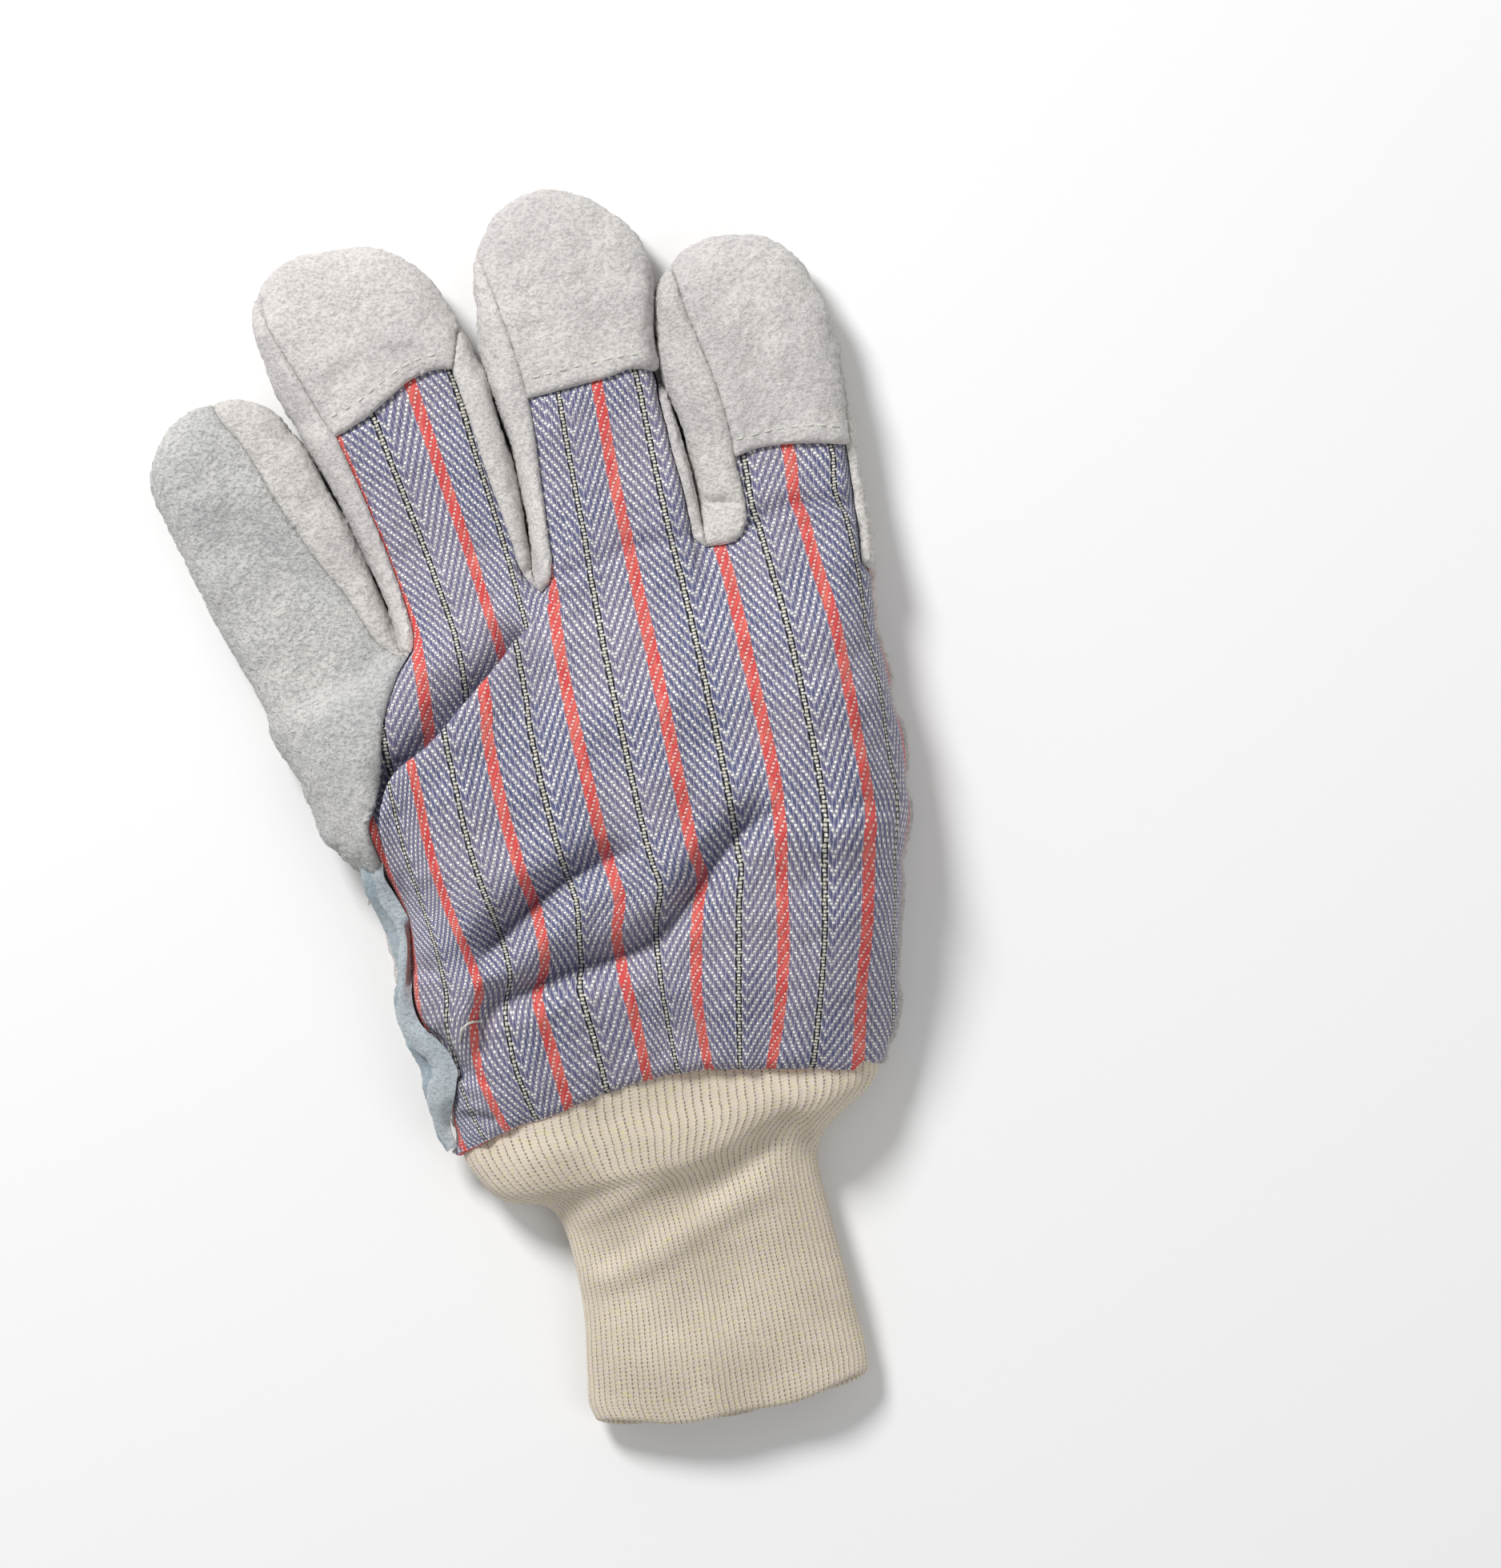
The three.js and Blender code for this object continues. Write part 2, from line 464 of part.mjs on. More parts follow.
// A piece with its short edges closed up and its needless corners dropped.
function cleaned({ positions, triangles }) {
  for (let pass = 0; pass < PASSES; pass++) {
    const around = new Map();
    triangles.forEach((triangle) => triangle.forEach((i) => around.set(i, [...(around.get(i) ?? []), triangle])));
    const neighbours = (i) => new Set(around.get(i).flat().filter((j) => j !== i));
    const edges = triangles
      .flatMap(([a, b, c]) => [[a, b], [b, c], [c, a]])
      .map(([from, onto]) => ({ from, onto, length: positions[from].distanceTo(positions[onto]) }))
      .sort((a, b) => a.length - b.length);
    const settled = new Set();
    const moves = new Map();
    for (const { from, onto } of edges) {
      if (settled.has(from) || settled.has(onto)) continue;
      const beside = neighbours(from);
      const shared = [...neighbours(onto)].filter((i) => beside.has(i));
      if (shared.length !== 2 || !canMoveOnto(positions, around.get(from), from, onto)) continue;
      moves.set(from, onto);
      [...beside, ...neighbours(onto)].forEach((i) => settled.add(i));
    }
    if (!moves.size) break;
    triangles = triangles
      .map((triangle) => triangle.map((i) => moves.get(i) ?? i))
      .filter(([a, b, c]) => a !== b && b !== c && c !== a);
  }
  return { positions, triangles };
}

// The hand, its four fingers and the thumb as one outer form and one hollow.
const BODY_TUBES = [
  [HAND_SECTIONS, AROUND.hand, { draped: true, folded: true }],
  [INDEX_SECTIONS, AROUND.finger, {}],
  [MIDDLE_SECTIONS, AROUND.finger, {}],
  [RING_SECTIONS, AROUND.finger, {}],
  [LITTLE_SECTIONS, AROUND.finger, {}],
  [THUMB_SECTIONS, AROUND.thumb, {}],
];
function bodyForm(inset) {
  return BODY_TUBES.map(([sections, around, options]) => tube(sections, around, { ...options, inset })).reduce(
    (all, next) => all.add(next),
  );
}

const handRegion = [...CUFF_SEAM, [100, -61], [100, 150], [-100, 150], [-100, -67]];
const cuffRegion = [[-100, -67], [-100, -160], [100, -160], [100, -61], ...[...CUFF_SEAM].reverse()];

const pieces = {};
const outerForm = bodyForm(0);
let shell = outerForm.subtract(bodyForm(LEATHER)).intersect(block(handRegion));

// Cuts one piece out of the shell and leaves a gap round it.
function take(name, cutter) {
  pieces[name] = shell.intersect(cutter(0));
  shell = shell.subtract(cutter(SEAM_GAP));
}
const onBack = (outline) => (grow) => block(outline, grow).intersect(upperHalf(grow));
const onPalm = (outline) => (grow) => block(outline, grow).subtract(upperHalf(-grow));

take("back_cloth", onBack(CLOTH_OUTLINE));
take("index_back", onBack(INDEX_BACK_OUTLINE));
take("middle_cap", onBack(MIDDLE_CAP_OUTLINE));
take("ring_cap", onBack(RING_CAP_OUTLINE));
take("little_cap", onBack(LITTLE_CAP_OUTLINE));
const thumbCeiling = THUMB_TOP + 0.4 * PALM_CLEARANCE;
const thumbRegion = (grow) =>
  block(THUMB_OUTLINE, 0.5 * PALM_CLEARANCE + grow, REACH.low, thumbCeiling + grow).add(
    block(THUMB_SIDE_OUTLINE, grow, REACH.low, thumbCeiling + grow),
  );
take("thumb_back", (grow) => {
  const lower = block(THUMB_BACK_OUTLINE, grow, REACH.low, THUMB_SEAM_HEIGHT + grow);
  return thumbRegion(grow).intersect(lower.add(block(THUMB_SIDE_OUTLINE, grow)));
});
take("thumb_front", thumbRegion);
take("finger_base_welt", onPalm(band(WELT_LINE, WELT_WIDTH)));
take("middle_front", (grow) => block(MIDDLE_FRONT_OUTLINE, grow));
take("ring_front", (grow) => block(RING_FRONT_OUTLINE, grow));
pieces.palm_leather = shell;

pieces.side_hem = tube(HEM_SECTIONS, AROUND.hem)
  .subtract(bodyForm(-SEAM_GAP))
  .intersect(block(handRegion));
pieces.knit_cuff = tube(CUFF_SECTIONS, AROUND.cuff, { folded: true })
  .subtract(tube(CUFF_SECTIONS, AROUND.cuff, { inset: KNIT, folded: true, openEnd: true }))
  .intersect(block(cuffRegion, -SEAM_GAP));

function meshOf(name, { positions, triangles }) {
  const used = [...new Set(triangles.flat())];
  const place = new Map(used.map((i, order) => [i, order]));
  const geometry = new THREE.BufferGeometry().setFromPoints(used.map((i) => positions[i]));
  geometry.setIndex(triangles.flat().map((i) => place.get(i)));
  geometry.computeVertexNormals();
  const kind = { back_cloth: "cotton", knit_cuff: "knit" }[name] ?? "suede";
  const mesh = new THREE.Mesh(geometry, new THREE.MeshStandardMaterial(MATERIALS[kind]));
  mesh.name = name;
  return mesh;
}

const glove = new THREE.Group();
glove.position.set(-CENTRE.x, -CENTRE.y, 0);
for (const [name, solid] of Object.entries(pieces)) {
  const body = cleaned(largestBody(trianglesOf(solid)));
  glove.add(meshOf(name, largestBody(body)));
}


export default glove;
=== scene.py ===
"""Leather palm work glove, right hand, lying on its palm with the striped cotton back up.

The glove is one soft form, found as the surface of a field over the measured plan outlines. It is cut
along its seams into the sewn pieces, and each piece gets its own thickness and edge. Millimetres are
used throughout, and metres only where a mesh is made.
"""

import math

import bpy
import numpy as np
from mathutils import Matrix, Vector
from mathutils.bvhtree import BVHTree
from mathutils.kdtree import KDTree


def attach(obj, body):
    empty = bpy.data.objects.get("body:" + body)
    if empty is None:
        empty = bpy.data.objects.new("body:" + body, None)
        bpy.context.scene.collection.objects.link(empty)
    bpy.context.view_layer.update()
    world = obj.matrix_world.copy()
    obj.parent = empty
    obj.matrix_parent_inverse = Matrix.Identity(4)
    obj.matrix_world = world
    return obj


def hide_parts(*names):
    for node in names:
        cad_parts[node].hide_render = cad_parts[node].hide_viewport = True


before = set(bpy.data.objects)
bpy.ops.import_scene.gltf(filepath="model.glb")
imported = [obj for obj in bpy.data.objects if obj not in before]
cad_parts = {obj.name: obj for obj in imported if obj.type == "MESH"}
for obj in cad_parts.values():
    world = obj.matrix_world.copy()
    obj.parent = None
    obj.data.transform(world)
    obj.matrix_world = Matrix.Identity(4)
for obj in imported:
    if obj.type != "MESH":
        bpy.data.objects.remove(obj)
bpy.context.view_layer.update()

# ---- Dimensions, millimetres ----
CENTRE = np.array([1.75, 1.85])  # middle of the plan in the frame of the tables below
CELL = 0.75  # spacing of the grid that the form is found on
LEATHER_RISE = 0.9  # how far leather stands above the cloth
LEATHER_THICK = 1.5
CLOTH_THICK = 0.9
FINGER_GAP = -0.1  # neighbouring fingers touch
FLOOR_LEVEL = LEATHER_RISE + 0.1  # underside of the form, below which only the leather's thickness lies
THUMB_TOP = 11.6
PALM_OVER_THUMB = 14.8  # height of the palm's underside above the thumb
EDGE_LEVEL = 7.5  # height of the hand's outline
EDGE_OVER_THUMB = 4.3  # how much higher it is where the thumb lies below
HAND_ROLL, THUMB_ROLL = 26.0, 10.0  # how far in from its outline each reaches its crown
FINGER_ROLL, FREE_FINGER_ROLL = 3.0, 5.5  # the same of fingers that touch, and how much more of free ones
FINGER_BLEND, THUMB_BLEND = 2.2, 0.8  # how softly they run into the hand
TUCK = 3.0  # how far the cloth runs under the caps
STRIPE_PITCH = 19.2
STRIPE_ENDS = 42  # warp ends from one red stripe to the next
RED_ENDS = 6
TWILL = 4  # ends and picks in a repeat of the weave
PICK = 0.75  # spacing of the weft
WALL_AXIS = (56.0, 8.0)  # x and z that the cloth bends round at the little finger's side
RIBS = 104
RIB_STEPS = 6  # points round the cuff for each rib
RIB_HEIGHT = 0.04
STITCH_ROW = 0.78  # height of a knit stitch
CUFF_THICK = 1.9
HEM_THICK = 1.1
HEM_REACH = 0.9  # how far the hem's plies run back over the seam
PUFF, PUFF_AT, PUFF_REACH = 0.25, 2.2, 1.6  # how far leather swells beside a seam, and where
PUCKER, PUCKER_PITCH, PUCKER_REACH = 0.35, 7.3, 5  # the gathers of the cloth at the cuff
NAP = 0.16  # roughness of the leather's surface
SHADE_UP, SHADE_DOWN = 2.4, 0.35  # reach of a crease's shade on the finger side and on the wrist side
LAP_WIDTH = 2.6  # reach of the sideways move of a lapped fold
SKY = 60.0  # a height above everything, for lines that look down


def fold(line, up, down, turn, fade, lap=0, narrow=0, dark=0):
    """A fold along a line in plan. up and down are its width and rise on the finger side and on the wrist side,
    and turn is how sharply one turns into the other. Its ends fade out over some length. It can lap over the
    cloth below it, be narrow for some way from its start, and have a crease with a dark shade."""
    return dict(line=line, up=up, down=down, turn=turn, fade=fade, lap=lap, narrow=narrow, dark=dark)


# ---- Plan outlines, x and y ----
HAND_SIDES = [
    (-31, -84), (-33.5, -61), (-33.8, -52), (-32, -45), (-36.5, -37), (-38, -29), (-36.6, -21), (-37.2, -13),
    (-40, -5), (-46, 2), (-49, 11), (-52, 19), (-55, 27), (-58, 36), (-64, 55), (-66, 70), (80, 70), (75.5, 56),
    (74, 48), (73.4, 40), (73.4, 30), (74, 20), (74.5, 10), (74.5, 0), (74, -8), (72, -15), (70.5, -20), (69, -27),
    (67, -35), (65, -45), (63, -53), (60, -60), (57, -68), (54, -84),
]
HAND_TOP = [(-90, 34), (-60, 36), (-40, 38), (-27, 42), (-12, 50), (3, 54), (22, 57), (41, 59), (60, 58), (100, 56)]
INDEX = [
    (-47, 4), (-50, 15), (-60, 42), (-66, 60), (-71, 77), (-73, 84), (-72, 90), (-66, 98), (-55, 101), (-50, 100),
    (-45, 97), (-41, 91), (-39.2, 88), (-37, 82), (-33, 70), (-29, 55), (-26.8, 44), (-26, 30), (-30, 15),
]
MIDDLE = [
    (-24, 28), (-26.8, 39), (-27.4, 46), (-29, 55), (-33, 70), (-37, 82), (-39.5, 89), (-42.5, 98), (-44.5, 106),
    (-46, 114), (-44, 121), (-40, 125.5), (-35, 128), (-28, 128.3), (-18, 127.5), (-12, 124), (-8, 120), (-4, 112),
    (-1.5, 103), (1, 97), (2, 90), (3.5, 80), (4, 70), (4, 60), (3.5, 50), (2, 38), (0, 28),
]
RING = [
    (6, 28), (4, 40), (3.7, 50), (4, 60), (4, 70), (3.5, 80), (2, 90), (1, 98), (0.6, 102), (1, 108), (2, 117),
    (4, 123), (9, 130), (14, 132.5), (18, 133), (22, 132), (27, 130.5), (32, 127), (36, 123), (38.5, 118),
    (39.5, 112), (38.8, 106), (37.6, 98), (37.6, 91), (39.3, 80), (40.5, 70), (40.8, 60), (40.5, 50), (39, 38),
    (36, 28),
]
LITTLE = [
    (44, 34), (41, 44), (40.6, 52), (40.8, 60), (40.5, 70), (39.3, 80), (37.8, 91), (38.4, 102), (39.5, 107),
    (41, 110), (44, 113), (48, 116), (54, 117.3), (60, 116.5), (65, 115), (70, 110), (73, 103), (75, 98), (75.6, 90),
    (76, 80), (76.2, 70), (76, 60), (75.6, 50), (74, 38), (70, 30),
]
THUMB = [
    (-38, 4), (-36, 9), (-32, 13), (-20, 20), (-4, 28.5), (8, 36), (19, 42.5), (27.5, 45.6), (35, 44), (41, 40.6),
    (46.4, 32), (47.2, 25.5), (45.2, 16.5), (40.2, 7.5), (33, -1), (24, -12.5), (12, -27.5), (0, -38), (-17, -47.5),
    (-33, -53), (-37, -45), (-40, -25),
]
# Height of the crown of each form at some y
HAND_CROWN = [
    (-84, 17), (-70, 18), (-61, 20), (-52, 23), (-45, 25.5), (-37, 28), (-29, 29), (-21, 29.5), (-13, 30.5), (-5, 31),
    (3, 31), (11, 30.5), (20, 29.5), (30, 27), (38, 24.5), (46, 21), (54, 17.5), (62, 15),
]
INDEX_CROWN = [(10, 21), (28, 19.5), (40, 17.5), (52, 16), (64, 15.5), (80, 15), (90, 14), (100, 12)]
MIDDLE_CROWN = [(22, 22), (36, 22.5), (48, 19), (60, 17), (75, 16.5), (90, 16.5), (104, 16), (116, 14), (128, 12)]
RING_CROWN = [(26, 22), (39, 23.5), (51, 21.5), (62, 18.5), (77, 16.5), (92, 16.5), (108, 16), (120, 14), (132, 12)]
LITTLE_CROWN = [(31, 20), (45, 20.5), (54, 18), (64, 16.5), (78, 16), (91, 15.5), (104, 14.5), (117, 12)]

# ---- Seams in plan ----
CUFF_SEAM = [
    (-48, -67), (-36, -65.5), (-28, -63.5), (-20, -61.5), (-10, -60), (0, -58.5), (10, -57), (20, -56.5), (30, -58),
    (42, -60), (50, -62), (57, -62.3), (72, -61),
]
CLOTH_LEFT = [
    (-50, -80), (-44, -66), (-34.4, -63), (-34.8, -59), (-33.8, -55), (-32.3, -51), (-31.2, -47.7), (-31.8, -45.3),
    (-33.7, -41.6), (-35.9, -38.8), (-37.4, -36), (-38, -31.5), (-37.3, -27), (-36, -22), (-35.5, -17),
    (-36.2, -12.5), (-37.6, -8), (-38.6, -5), (-38.5, -3), (-39.5, 5), (-38.5, 10), (-35, 20), (-32, 30), (-28, 37),
    (-24, 41.5),
]
CLOTH_MIDDLE_LEFT = [(-24, 41.5), (-23.6, 45), (-24, 50), (-25.5, 60), (-28.5, 74), (-32.5, 89)]
MIDDLE_CAP_EDGE = [(-32.5, 89), (-26, 91.5), (-20, 95), (-15, 98), (-10, 99.3), (-5.5, 99)]
CLOTH_MIDDLE_RIGHT = [(-5.5, 99), (-4, 88), (-1.5, 72), (1, 58), (2.8, 52), (4.6, 49.2)]
CLOTH_RING_LEFT = [(4.6, 49.2), (6.6, 51), (8, 55), (8.2, 60), (8.5, 68), (9, 80), (9, 90)]
RING_CAP_EDGE = [(9, 90), (15, 90.5), (22, 91), (27, 91.5), (31, 92.3), (34, 92), (37, 91)]
CLOTH_RING_RIGHT = [(37, 91), (37.5, 80), (38, 70), (39, 60), (39.5, 55), (40.5, 53)]
CLOTH_LITTLE_LEFT = [(40.5, 53), (44, 52.6), (47.5, 53), (50, 56), (50.5, 62), (50, 70)]
LITTLE_CAP_EDGE = [(50, 70), (54, 71), (60, 71), (66, 70.3), (70, 69.5), (74.4, 68.7)]
CLOTH_RIGHT = [(74.4, 68.7), (74.2, 60), (73.9, 50), (74.5, 42), (90, 40), (90, -80)]
INDEX_BACK = [
    (-24, 41.5), (-27, 40), (-31.7, 45), (-36, 55), (-40.5, 63), (-47, 77), (-52, 90), (-57, 99), (-58, 112),
    (-90, 112), (-60, -4), (-41, -4),
] + CLOTH_LEFT[-7:-1]
MIDDLE_CAP_LEFT = [(-32.5, 89), (-35, 94), (-37.5, 101), (-41, 110), (-43, 117), (-44, 124), (-50, 134)]
MIDDLE_CAP_RIGHT = [(10, 134), (-3, 118), (-3.2, 110), (-4.2, 104), (-5.5, 99)]
RING_CAP_LEFT = [(9, 90), (8.5, 96), (7.5, 103), (6, 112), (4, 122), (2, 138)]
RING_CAP_RIGHT = [(44, 138), (38.5, 112), (37.2, 104), (36.8, 98), (37, 91)]
LITTLE_CAP_LEFT = [(50, 70), (50, 76), (49, 85), (47, 95), (45, 104), (44, 112), (40, 122)]
LITTLE_CAP_RIGHT = [(84, 122), (76, 98), (74.6, 84), (74.4, 68.7)]
WELT_LINE = [(-26.3, 41.5), (-18, 43.2), (-8, 43), (4, 42.5), (16, 44), (27, 46), (34, 46.8), (41, 50)]
HEM_LINE = [  # the seam, the upper ply's edge and the lower ply's edge
    (-38.9, -1.4, -41.3, -1.3, -43.3, -1.7), (-39.2, -4.7, -41.4, -4.8, -43.4, -4.4),
    (-38.1, -7.6, -40.9, -7.6, -42.8, -7.5), (-37.2, -10.0, -39.8, -10.4, -42.1, -9.8),
    (-36.4, -12.2, -38.8, -12.7, -41.6, -12.4), (-35.7, -14.4, -38.1, -15.0, -41.0, -14.9),
    (-35.5, -17.2, -37.7, -17.9, -40.1, -17.6), (-35.6, -20.5, -38.0, -20.6, -39.6, -20.6),
    (-36.4, -24.0, -38.7, -23.6, -39.4, -23.4), (-37.3, -27.1, -39.4, -26.7, -39.7, -26.7),
    (-37.9, -29.6, -40.4, -29.3, -40.6, -29.3), (-38.0, -33.0, -41.0, -32.8, -41.2, -32.8),
    (-37.3, -36.2, -40.8, -36.3, -40.9, -36.3), (-35.9, -38.7, -40.0, -39.4, -40.2, -39.4),
    (-33.7, -41.4, -38.3, -42.0, -39.3, -42.0), (-32.4, -43.5, -36.4, -43.9, -38.7, -44.2),
    (-31.7, -45.5, -35.6, -45.9, -38.4, -46.2), (-31.2, -47.7, -35.9, -47.8, -38.3, -47.9),
    (-31.7, -49.6, -37.3, -49.6, -38.2, -49.6), (-32.8, -52.9, -37.8, -52.4, -38.0, -52.4),
    (-34.0, -55.8, -37.6, -55.3, -37.8, -55.3), (-34.8, -58.4, -37.4, -58.0, -37.6, -57.9),
    (-34.8, -61.2, -36.8, -61.0, -37.0, -61.0), (-34.2, -63.8, -35.4, -64.1, -35.6, -64.3),
]
HEM_HEIGHT = [(-64.5, 8.4), (-60, 9.2), (-54, 10.5), (-45, 11.2), (-37, 12.2), (-20, 11.6), (-1, 11.8)]
# Folds of the cloth. The first is the lapped fold.
FOLDS = [
    fold([(-35.4, -10), (-35.7, -4), (-36.6, 1), (-37.2, 6.5), (-36.0, 11), (-33.6, 14.6), (-30, 17.4), (-25, 20),
          (-20, 23.3), (-15, 27.6), (-8, 33.5), (-2, 39.2), (2, 43)],
         (6.0, -5.8), (7.0, 1.9), 0.8, 6, lap=1.7, narrow=30, dark=1),
    fold([(-26, -27), (-20, -24), (-14, -20.5), (-7, -16), (0, -12), (8, -9.5), (17, -7)],
         (4.2, -5.2), (2.9, -5.2), 0.4, 9, dark=1),
    fold([(-36, -22), (-24, -18), (-14, -12), (-4, -8), (6, -5)], (7, 1.7), (5, 1.7), 1.5, 10),
    fold([(-30, -33), (-20, -30), (-12, -26), (-4, -21), (4, -17), (14, -13)], (4.5, 1.6), (4.5, 1.6), 1, 9),
    fold([(-27, -39), (-20, -36), (-12, -34), (-5, -32), (3, -31), (9, -30), (15, -28), (20, -25), (26, -19.5),
          (33, -12.5), (40, -7), (48, -3)], (4.0, -4.8), (2.9, -4.8), 0.4, 12, dark=0.9),
    fold([(4, -24), (12, -22), (20, -16), (28, -8), (36, -2), (46, 2)], (5, 1.0), (5, 1.0), 1, 9),
    fold([(-20, -27), (-22.5, -33), (-25.5, -40), (-26.5, -48)], (3.5, -1.9), (5, 1.8), 0.8, 6),
    fold([(-36, -50), (-31, -49), (-27, -51), (-22, -54)], (2.4, -1.5), (2.8, 1.0), 0.6, 5),
    fold([(-34, -57), (-28, -57), (-22, -60)], (2.2, 0.9), (2.4, -1.0), 0.6, 4),
    fold([(-38, -24), (-33, -27), (-28, -27)], (3, -0.9), (3, 0.8), 0.7, 5),
    fold([(5, 50), (12, 51.5), (18, 53), (25, 54.3), (32, 54.2), (40, 53.2)],
         (3.0, -2.0), (3.2, 1.1), 0.8, 5, dark=0.3),
    fold([(49, 53), (54, 55.4), (60, 56.6), (66, 56.5), (75, 54)], (3.2, -2.4), (3.4, 1.4), 0.9, 5, dark=0.35),
    fold([(52, -12), (60, -9), (68, -10), (74, -12)], (6, -1.0), (6, 0.7), 1.2, 8),
    fold([(-4, 30), (8, 22), (18, 10), (24, -4)], (9, 0.7), (9, -0.8), 2.5, 14),
    fold([(30, 36), (36, 20), (44, 4), (56, -14)], (9, -0.5), (9, 0.7), 2.5, 14),
    fold([(-20, 84), (-15, 74), (-12, 62), (-10, 50)], (5, 0.5), (5, -0.6), 1.6, 10),
    fold([(20, 88), (22, 76), (20, 62)], (5, -0.5), (5, 0.5), 1.6, 9),
]
# Dents in the leather's upper side
DENTS = [
    fold([(22, 128), (25, 116), (24, 104), (21, 97)], (5, -0.5), (7, 0.5), 1.5, 8),
    fold([(-38, 100), (-30, 103), (-22, 106), (-10, 105)], (6, 0.5), (6, -0.5), 2, 8),
    fold([(60, 110), (62, 96), (59, 84)], (5, 0.5), (5, -0.6), 1.5, 8),
    fold([(-52, 30), (-47, 45), (-50, 62), (-57, 76)], (7, 0.7), (7, -0.6), 2.5, 12),
    fold([(-60, 93), (-58, 84), (-60, 72)], (4, -0.5), (4, 0.5), 1.5, 7),
    fold([(40, 60.6), (44.5, 61.2), (50.5, 59.6)], (1.3, -2.4), (0.7, -1.2), 0.3, 1.5),
]

# Stripe table: x of each red stripe at some y, below and above the lapped fold
STRIPES_LOW = [
    [(12, -38.8), (8, -38.5), (0, -37.8), (-10, -36.3), (-20, -35.5), (-33, -36.6), (-39, -36.2), (-55, -34),
     (-66, -32)],
    [(45, -31), (16, -28.5), (0, -28), (-12, -26.5), (-25, -23.5), (-32, -22.5), (-38, -25), (-48, -26), (-57, -24),
     (-66, -21)],
    [(60, -12), (31, -10.5), (20, -11.5), (5, -11), (-8, -9.5), (-16, -8), (-25, -7.5), (-30, -8.5), (-35, -11),
     (-45, -10), (-59, -8.5), (-68, -8)],
    [(60, 7.5), (51, 7), (30, 6.5), (10, 7.5), (-5, 8.5), (-13, 9.5), (-18, 10), (-25, 8), (-32, 8), (-45, 9),
     (-66, 9.5)],
    [(91, 24), (70, 24), (58, 24.5), (45, 25), (25, 26), (5, 26.5), (-10, 27), (-16, 28), (-22, 26), (-33, 23.5),
     (-45, 22), (-66, 22.5)],
    [(91, 41.5), (70, 42.5), (53, 43.5), (45, 44.5), (25, 45.5), (5, 46.5), (-8, 46), (-18, 44.5), (-35, 42),
     (-47, 39), (-57, 35.5), (-66, 32)],
    [(91, 60), (70, 61.5), (60, 61), (55, 62), (45, 63), (30, 65), (5, 65.5), (-8, 65.5), (-17, 63.5), (-32, 60.5),
     (-45, 57), (-61, 53.5), (-68, 51)],
]
STRIPES_HIGH = [
    [(100, -55), (88, -52), (50, -44), (25, -42.5), (15, -40.6), (9, -38.7), (2, -38.2), (-6, -37.2), (-12, -36.3),
     (-30, -36.4)],
    [(100, -35), (88, -32.5), (50, -24), (40, -23), (25, -23.5), (10, -25), (-30, -26)],
    [(100, -15.3), (98, -15), (80, -12), (62, -9), (48, -7), (37, -5.5), (20, -6), (-30, -7)],
    [(100, 3), (51, 7), (30, 6.5), (10, 7.5), (-30, 8.5)],
]
# Rows of the cuff from the arm to the hand: outline points in plan, edge heights, crown, and how far the row bows out
CUFF_ROWS = [
    ((-14.6, -125.6), (44.4, -125.3), 5.6, 11.2, 3.6),
    ((-15.4, -122), (44.8, -121), 5.8, 11.8, 3.2),
    ((-14.6, -116), (44.4, -116), 6, 12.5, 2),
    ((-13.2, -105), (43.3, -106), 6, 13, 0.6),
    ((-13, -93), (42.3, -94), 6, 13.6, 0),
    ((-14.3, -84.5), (41.6, -83), 6, 15, 0),
    ((-17.2, -79.6), (42.2, -76.5), 6.4, 17, 0),
    ((-25.5, -76.8), (47, -71.5), 7, 19.5, 0),
    ((-31, -69.8), (55.5, -66), 7.8, 20.6, 0),
    ((-32.6, -64), (58.4, -60.5), 8.5, 19.8, 0),
    ((-32, -58), (59, -55), 8.8, 19.8, 0),
    ((-31, -54), (59.5, -51), 9, 19.4, 0),
]
CUFF_FOLDS = [
    fold([(-16, -86), (-6, -84.5), (6, -80.5), (18, -76.5), (30, -71.5), (44, -66)], (5.5, 0.8), (5, -1.0), 2, 10),
    fold([(-15, -97), (-4, -93), (8, -88.5), (20, -83.5), (32, -77), (42, -71.5)], (5, -1.2), (6, 0.9), 1.8, 10),
    fold([(-12, -100), (2, -97), (14, -92), (26, -87), (38, -82)], (5, 0.8), (6, -0.5), 2, 9),
    fold([(36, -62), (40, -72), (41, -82)], (3, 0.8), (4, -0.7), 1, 7),
]

rng = np.random.default_rng(7)


# ---- Curves and fields ----
def smooth_line(points, spacing=1.0, closed=False):
    """Points along a Catmull-Rom curve through the given ones."""
    p = np.array(points, float)
    if closed:
        p = np.vstack([p[-1], p, p[0], p[1]])
    else:
        p = np.vstack([2 * p[0] - p[1], p, 2 * p[-1] - p[-2]])
    rows = []
    for a, b, c, d in zip(p[:-3], p[1:-2], p[2:-1], p[3:]):
        n = max(1, int(np.linalg.norm(c[:2] - b[:2]) / spacing))
        t = (np.arange(n) / n)[:, None]
        rows.append(0.5 * (2 * b + (c - a) * t + (2 * a - 5 * b + 4 * c - d) * t**2 + (3 * b - a - 3 * c + d) * t**3))
    if not closed:
        rows.append(p[-2:-1])
    return np.vstack(rows)


def joined(*lines):
    """One polygon from several seam lines, each smoothed by itself, so that corners stay."""
    return np.vstack([smooth_line(line, 1.5)[:-1] for line in lines])


def ramp(low, high, v):
    """Smooth step from 0 at low to 1 at high."""
    t = np.clip((v - low) / (high - low), 0, 1)
    return t * t * (3 - 2 * t)


